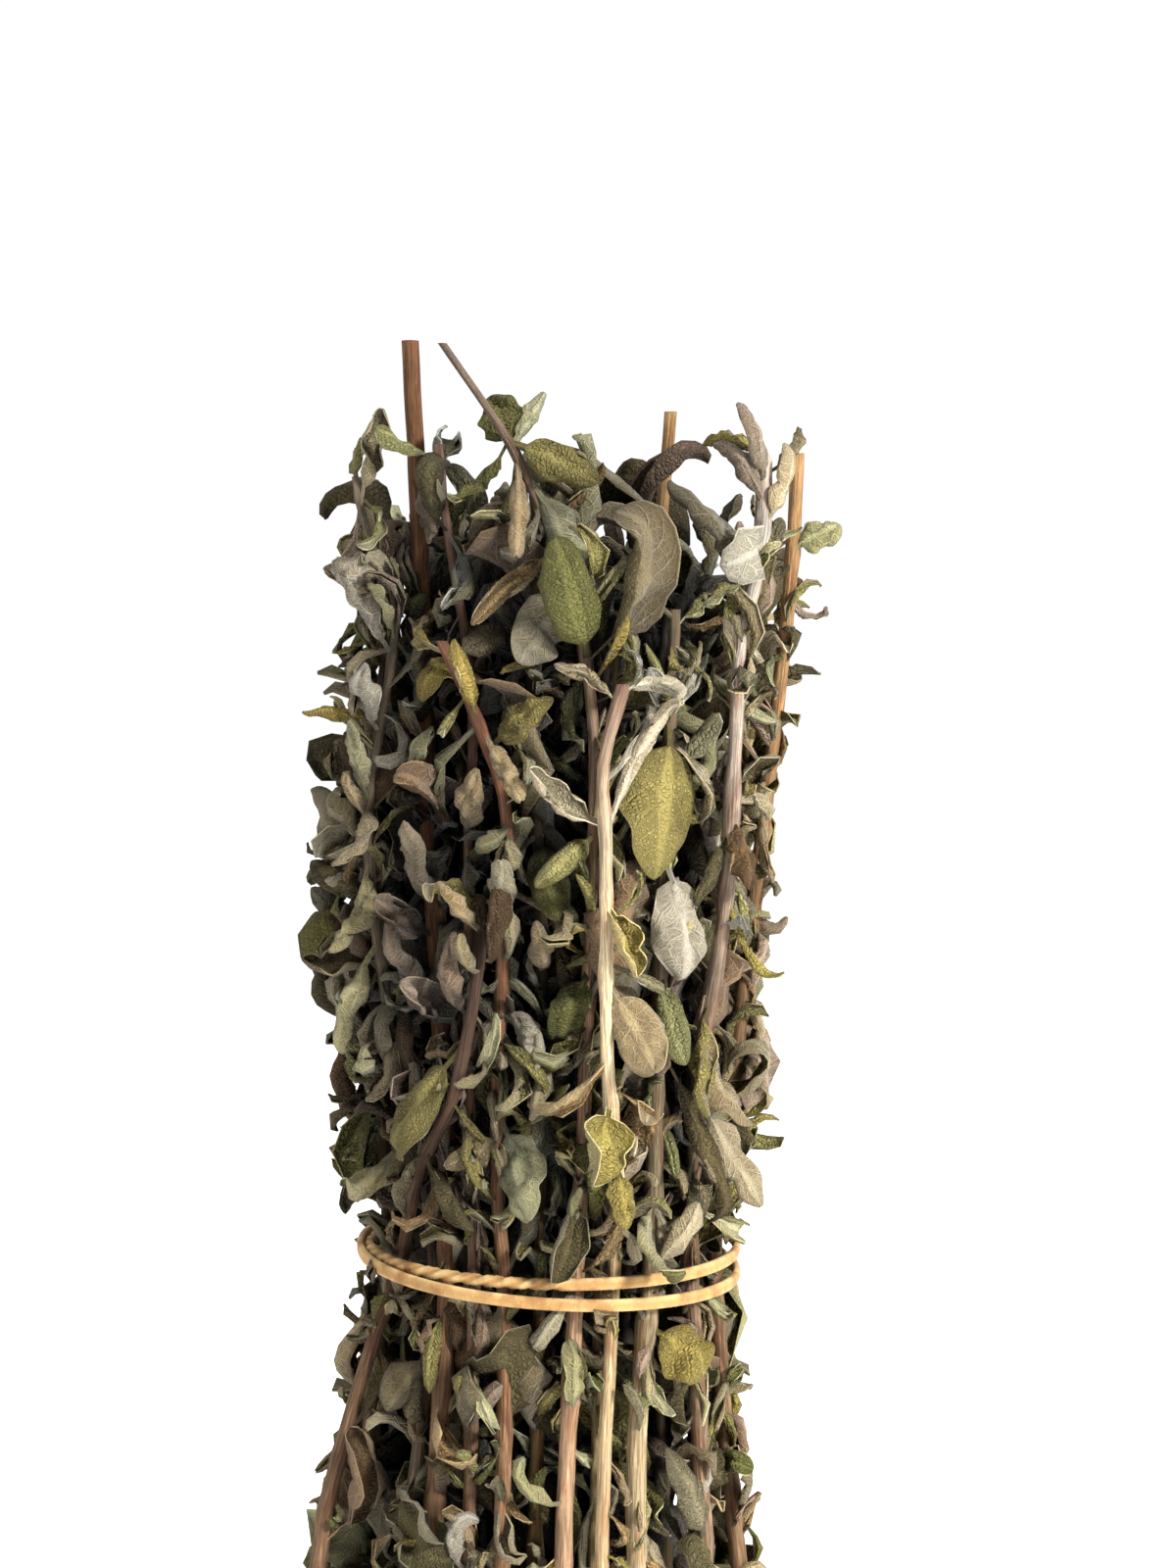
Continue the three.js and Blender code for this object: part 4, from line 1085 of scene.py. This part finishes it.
def midline(leaf, share, draw):
    """How far the midrib has reached and risen, and its lean, as it bends and ripples to a tip that
    curls further."""
    ripple, ripples = math.radians(between(draw, *RIPPLE)), between(draw, *RIPPLES)
    ripple_turn = between(draw, 0, 2 * math.pi)
    lean = leaf["bend"] * share + ripple * share * np.sin(
        2 * np.pi * ripples * share + ripple_turn
    )
    tip_curl = math.radians(between(draw, *TIP_CURLS[leaf["kind"]]))
    lean = lean + tip_curl * np.sign(leaf["bend"]) * np.maximum(share, 0) ** TIP_EASE
    spans = np.diff(share[:, 0], prepend=share[0, 0])[:, None]
    along_it = np.concatenate([[np.cos(lean[0])], (np.cos(lean[1:]) + np.cos(lean[:-1])) / 2])
    off_it = np.concatenate([[np.sin(lean[0])], (np.sin(lean[1:]) + np.sin(lean[:-1])) / 2])
    reach = leaf["length"] * share[0, 0] + leaf["length"] * np.cumsum(along_it * spans, 0)
    return reach, leaf["length"] * np.cumsum(off_it * spans, 0), lean


def blade_points(leaf, columns, rows, draw):
    """The points of a fine blade's two sides, row by row from its root."""
    share, across = blade_grid(columns, rows)
    wide, deep = blade_section(leaf, share, across, draw)
    reach, rise, lean = midline(leaf, share, draw)
    more = math.radians(between(draw, -TWIST_STRAY, TWIST_STRAY))
    twist = leaf["twist"] * share + more * share**2
    points = set_on_midline(leaf, reach, rise, lean, wide, deep, twist)
    normals = np.cross(np.gradient(points, axis=1), np.gradient(points, axis=0))
    normals /= np.linalg.norm(normals, axis=2)[..., None] + 1e-9
    thickness = THICKNESS * (0.55 + 0.45 * np.cos(np.pi / 2 * np.abs(across)))
    thickness = thickness * np.ones_like(share)
    return points.reshape(-1, 3), (points - normals * thickness[..., None]).reshape(-1, 3)


def painted_shade(points, least):
    """Painted shade: how much darker the heart of the bunch is painted than its outside, and how much
    lighter its right side, its foot and its open crown are painted.
    """
    reach = along(ENVELOPE, points[:, 2], 1)
    out = np.hypot(points[:, 0] - along(ENVELOPE, points[:, 2], 2), points[:, 1]) / reach
    # The open crown gets less painted shade.
    bare = (points[:, 2] - OPEN_FROM) / (CROWN_HEIGHT - OPEN_FROM)
    t = np.clip(np.maximum((out - DIM_FROM) / (DIM_TO - DIM_FROM), 0.8 * bare), 0, 1)
    # Painted light: the right side is painted lighter than the left.
    side = 1 + PAINTED_SIDE_LIGHT * points[:, 0] / reach
    # Painted light: below the band, the stems and leaves are painted lighter towards the foot.
    side = side + PAINTED_LIGHT_BELOW_BAND * np.clip(1 - points[:, 2] / WAIST_HEIGHT, 0, 1)
    return (side * (least + (1 - least) * t * t * (3 - 2 * t)))[:, None]


def strayed(rgb, draw):
    """A leaf's own shade of a tone."""
    light = 1 + between(draw, -TINT_STRAY, TINT_STRAY)
    warm = between(draw, -TINT_STRAY, TINT_STRAY) / 3
    red, green, blue = np.array(linear(rgb)) * (1.03, 1, 0.96)
    return np.array([[red * (light + warm), green * light, blue * (light - warm)]])


def add_leaf(mesh, leaf, draw):
    """A blade without thickness yet, with the tints of its two sides, painted darker towards the
    heart of the bunch.
    """
    bm, blade_map, felt_map, tint_layer, under_layer, _, place_layer = mesh
    columns, rows = GRIDS[leaf["kind"]]
    grid = bmesh.ops.create_grid(bm, x_segments=columns, y_segments=rows, size=1, calc_uvs=True)
    points, backs = blade_points(leaf, columns, rows, draw)
    # Painted shade: both sides' tints are darkened towards the heart of the bunch.
    shade = painted_shade(points, DIM_LEAST)
    upper, under = (strayed(rgb, draw) * shade for rgb in TONES[leaf["tone"]])
    looks = zip(grid["verts"], points * MM, backs * MM, upper, under)
    for vert, point, back, above, below in looks:
        vert.co = point
        vert[place_layer] = back
        vert[tint_layer] = (*above, 1)
        vert[under_layer] = (*below, 1)
    shift = between(draw, 0, 400)
    faces = {face for vert in grid["verts"] for face in vert.link_faces}
    for face in faces:
        face.smooth = True
        face.material_index = UPPER
        for loop in face.loops:
            u, v = loop[blade_map].uv
            loop[felt_map].uv = (u * leaf["width"] + shift, v * leaf["length"])


def stem_tube(bm, rings):
    """The corners of an upright tube with closed ends."""
    before = len(bm.verts)
    cone = bmesh.ops.create_cone(
        bm, cap_ends=True, cap_tris=False, segments=STEM_SIDES, radius1=1, radius2=1, depth=1
    )
    edges = {edge for vert in cone["verts"] for edge in vert.link_edges}
    uprights = [e for e in edges if abs(e.verts[0].co.z - e.verts[1].co.z) > 0.5]
    bmesh.ops.subdivide_edges(bm, edges=uprights, cuts=rings - 1)
    bm.verts.ensure_lookup_table()
    return bm.verts[before:]


def node_swell(height, own):
    """How much the wood swells near its leaves. The small ones sit on side shoots and add none."""
    swell = np.zeros(len(height))
    for leaf in own:
        if leaf["kind"] != "small":
            off = (height - leaf["height"]) / NODE_REACH
            swell = np.maximum(swell, np.exp(-(off**2)))
    return swell


def bark_tint(stem, share, swell, middle):
    bark = np.array([linear(rgb) for rgb in stem["bark"]])
    stops = np.linspace(0, 1, len(bark))
    tint = np.stack([np.interp(share, stops, bark[:, k]) for k in range(3)], axis=1)
    tint = tint * (1 - 0.3 * swell[:, None])
    # Painted shade on the bark towards the heart of the bunch; stems in plain sight get little of it.
    return tint * painted_shade(middle, SEEN_LEAST if "seen" in stem else BARK_LEAST)


def add_stem(mesh, stem, own, draw):
    """The wood: a squarish, gnarled tube from the foot to the top, closed by its two ends."""
    bm, tint_layer, grain_layer = mesh[0], mesh[3], mesh[5]
    top = stem_top(stem)
    verts = stem_tube(bm, round(top / RING_GAP))
    share = np.array([vert.co.z + 0.5 for vert in verts])
    turn = np.array([math.atan2(vert.co.y, vert.co.x) for vert in verts])
    height = share * top
    swell = node_swell(height, own)
    ridges = 0.9 + 0.1 * np.cos(4 * turn)
    gnarl = 0.03 * np.sin(height / 7 + turn) + 0.03 * np.sin(height / 2.9 - turn)
    shift = between(draw, 0, 90)
    grain = np.stack([2 * np.cos(turn), 2 * np.sin(turn), height + shift], axis=1)
    radius = STEM_SHARE * stem_radius(stem, height) * (ridges + gnarl + NODE_SWELL * swell)
    middle = stem_at(stem, height)
    middle[:, 0] += radius * np.cos(turn)
    middle[:, 1] += radius * np.sin(turn)
    tint = bark_tint(stem, share, swell, middle)
    for vert, point, rgb, run in zip(verts, middle * MM, tint, grain):
        vert.co = point
        vert[tint_layer] = (*rgb, 1)
        vert[grain_layer] = run
    for face in {face for vert in verts for face in vert.link_faces}:
        face.smooth = len(face.verts) == 4
        grown_tip = face.calc_center_median().z > WAIST_HEIGHT * MM and not stem.get("cut")
        face.material_index = BARK if face.smooth or grown_tip else CUT


def make_sprig(i, stem):
    mesh = new_sprig_mesh()
    bm, place_layer = mesh[0], mesh[-1]
    look, tinting = draws(LOOK_SEED + i), draws(TINT_SEED + i)
    for leaf in leaves[i]:
        tones = TONES_OF[stem["colour"]]
        tone = tones[int(tinting() * len(tones))]
        if leaf["width"] > PALE_WIDTH:
            tone = UNBLEACHED.get(tone, tone)
        leaf.setdefault("tone", tone)
        add_leaf(mesh, leaf, look)
    uppers = len(bm.faces)
    shell = bmesh.ops.solidify(bm, geom=bm.faces[:], thickness=0)
    for made in shell["geom"]:
        if isinstance(made, bmesh.types.BMVert):
            made.co = made[place_layer]
    bm.faces.ensure_lookup_table()
    for face in bm.faces[uppers:]:
        face.material_index = UNDER
        face.smooth = True
    add_stem(mesh, stem, leaves[i], look)
    data = bpy.data.meshes.new("sprig_" + stem["name"])
    bm.to_mesh(data)
    bm.free()
    for finish in FINISHES:
        data.materials.append(finish)
    piece = bpy.data.objects.new("sprig_" + stem["name"], data)
    bpy.context.scene.collection.objects.link(piece)
    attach(piece, "root")
    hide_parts("stem_" + stem["name"])


for i, stem in enumerate(stems):
    make_sprig(i, stem)


# ---- Rubber band -------------------------------------------------------------------------------
# A natural rubber band, stretched twice round the stems. One strand has rolled over on itself, so
# it looks like a twisted rope at the upper left.
ROUND, SECTION = 480, 14
TWISTED, WHOLE_TURNS = (0.74, 0.88), 7
CORNER = 4.0  # how square the section is
ROLLED_THICK, ROLLED_WIDE = 1.1, 0.92  # shares of the band's size where it has rolled over
FLAT_THICK, FLAT_WIDE = 0.85, 0.97  # and where it lies flat
BAND_DARK, BAND_LIGHT = (178, 138, 82), (220, 190, 136)
BAND_DULL, BAND_SPECKS = (150, 108, 62), (226, 200, 150)
LOOK_AHEAD = 1e-4  # a small step along the band's line, to find which way it runs


def band_finish():
    made, tree, surface = new_material("rubber", 0.62)
    place = object_place(tree)
    tint = tint_of(tree)
    dull = noise_of(tree, place, 220.0, 4)
    colour = mixed(tree, step_up(tree, dull, 0.35, 0.7), tint, (*linear(BAND_DULL), 1))
    specks = step_up(tree, noise_of(tree, place, 2600.0, 2), 0.62, 0.72)
    colour = veiled(tree, colour, specks, 0.4, (*linear(BAND_SPECKS), 1))
    put(tree, surface["Base Color"], colour)
    put(tree, surface["Normal"], bump(tree, dull, 0.3, 0.2 * MM))
    return made


def band_frame(share):
    """The band's middle line, with the ways outward and upward from it."""
    middle = band_line(share)
    ahead = band_line(share + LOOK_AHEAD) - band_line(share - LOOK_AHEAD)
    ahead /= np.linalg.norm(ahead, axis=1)[:, None]
    outward_line = middle * (1, 1, 0)
    outward_line -= ahead * np.sum(outward_line * ahead, axis=1)[:, None]
    outward_line /= np.linalg.norm(outward_line, axis=1)[:, None]
    return middle, outward_line, np.cross(outward_line, ahead)


def band_points(share, turn):
    """The band's skin: a squarish section, rolled over and over along the twisted stretch."""
    low, high = TWISTED
    rolled = np.clip((share - low) / (high - low), 0, 1) * WHOLE_TURNS * 2 * np.pi
    inside = (share > low) & (share < high)
    squared = np.abs(np.cos(turn)) ** CORNER + np.abs(np.sin(turn)) ** CORNER
    flat = squared ** (-1 / CORNER)
    thick = np.where(inside, BAND_THICK * ROLLED_THICK, BAND_THICK * FLAT_THICK) / 2
    wide = np.where(inside, BAND_WIDE * ROLLED_WIDE, BAND_WIDE * FLAT_WIDE) / 2
    a, b = flat * np.cos(turn) * thick, flat * np.sin(turn) * wide
    x = a * np.cos(rolled) - b * np.sin(rolled)
    z = a * np.sin(rolled) + b * np.cos(rolled)
    middle, outward_line, upward = band_frame(share)
    return middle + x[:, None] * outward_line + z[:, None] * upward


def make_band():
    bm = bmesh.new()
    tint_layer = bm.verts.layers.float_color.new("tint")
    grid = bmesh.ops.create_grid(bm, x_segments=SECTION, y_segments=ROUND, size=1)
    share = np.array([(v.co.y + 1) / 2 for v in grid["verts"]])
    turn = np.array([v.co.x * math.pi for v in grid["verts"]])
    points = band_points(share, turn)
    low_colour, high_colour = np.array(linear(BAND_DARK)), np.array(linear(BAND_LIGHT))
    ridge = np.abs(np.sin(turn)) ** 2
    for vert, point, at in zip(grid["verts"], points * MM, ridge):
        vert.co = point
        vert[tint_layer] = (*(low_colour * (1 - at) + high_colour * at), 1)
    bmesh.ops.remove_doubles(bm, verts=bm.verts[:], dist=1e-6)
    bmesh.ops.recalc_face_normals(bm, faces=bm.faces[:])
    for face in bm.faces:
        face.smooth = True
    data = bpy.data.meshes.new("band")
    bm.to_mesh(data)
    bm.free()
    data.materials.append(band_finish())
    band = bpy.data.objects.new("band", data)
    bpy.context.scene.collection.objects.link(band)
    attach(band, "root")
    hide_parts("rubber_band")


make_band()


# ---- Floor and light ---------------------------------------------------------------------------
# A plain white floor and a soft white surround, brighter behind and at the right. The key lamp is
# high at the front right, and a wide weak one is above.
def floor_finish():
    made, tree, surface = new_material("floor", 0.9)
    put(tree, surface["Base Color"], (0.95, 0.95, 0.95, 1))
    put(tree, surface["Emission Color"], (1, 1, 1, 1))
    put(tree, surface["Emission Strength"], 0.4)
    return made


floor_mesh = bpy.data.meshes.new("floor")
floor_bm = bmesh.new()
bmesh.ops.create_grid(floor_bm, x_segments=1, y_segments=1, size=6)
floor_bm.to_mesh(floor_mesh)
floor_bm.free()
floor_mesh.materials.append(floor_finish())
floor = bpy.data.objects.new("floor", floor_mesh)
bpy.context.scene.collection.objects.link(floor)

SURROUND_BACK, SURROUND_RIGHT, SURROUND_LEFT = 1.02, 0.3, 0.05

world = bpy.data.worlds.new("surround")
world.use_nodes = True
surround = world.node_tree
aim = parts_of(surround, surround.nodes.new("ShaderNodeTexCoord").outputs["Generated"])
backward = step_up(surround, aim["Y"], -0.6, 0.4)
rightward = step_up(surround, aim["X"], -0.8, 0.8)
front = maths(surround, "MULTIPLY_ADD", rightward, SURROUND_RIGHT - SURROUND_LEFT, SURROUND_LEFT)
strength = maths(surround, "MULTIPLY", front, maths(surround, "SUBTRACT", 1.0, backward))
strength = maths(surround, "MULTIPLY_ADD", backward, SURROUND_BACK, strength)
in_view = surround.nodes.new("ShaderNodeLightPath").outputs["Is Camera Ray"]
strength = maths(surround, "MAXIMUM", strength, maths(surround, "MULTIPLY", in_view, 1.02))
put(surround, surround.nodes["Background"].inputs["Color"], (1, 1, 1, 1))
put(surround, surround.nodes["Background"].inputs["Strength"], strength)
bpy.context.scene.world = world


KEY_PLACE, KEY_SIZE, KEY_POWER = (750, -800, 700), 0.22, 27  # sizes in metres, powers in watts
TOP_PLACE, TOP_SIZE, TOP_POWER = (-250, -250, 1250), 0.7, 9
LAMP_TARGET = Vector((0, 0, 170)) * MM


def add_lamp(name, place, size, power):
    lamp = bpy.data.lights.new(name, "AREA")
    lamp.shape = "DISK"
    lamp.size = size
    lamp.energy = power
    held = bpy.data.objects.new(name, lamp)
    held.location = Vector(place) * MM
    aim = LAMP_TARGET - held.location
    held.rotation_euler = aim.to_track_quat("-Z", "Y").to_euler()
    bpy.context.scene.collection.objects.link(held)


add_lamp("key lamp", KEY_PLACE, KEY_SIZE, KEY_POWER)
add_lamp("top lamp", TOP_PLACE, TOP_SIZE, TOP_POWER)
bpy.context.scene.view_settings.view_transform = "Standard"
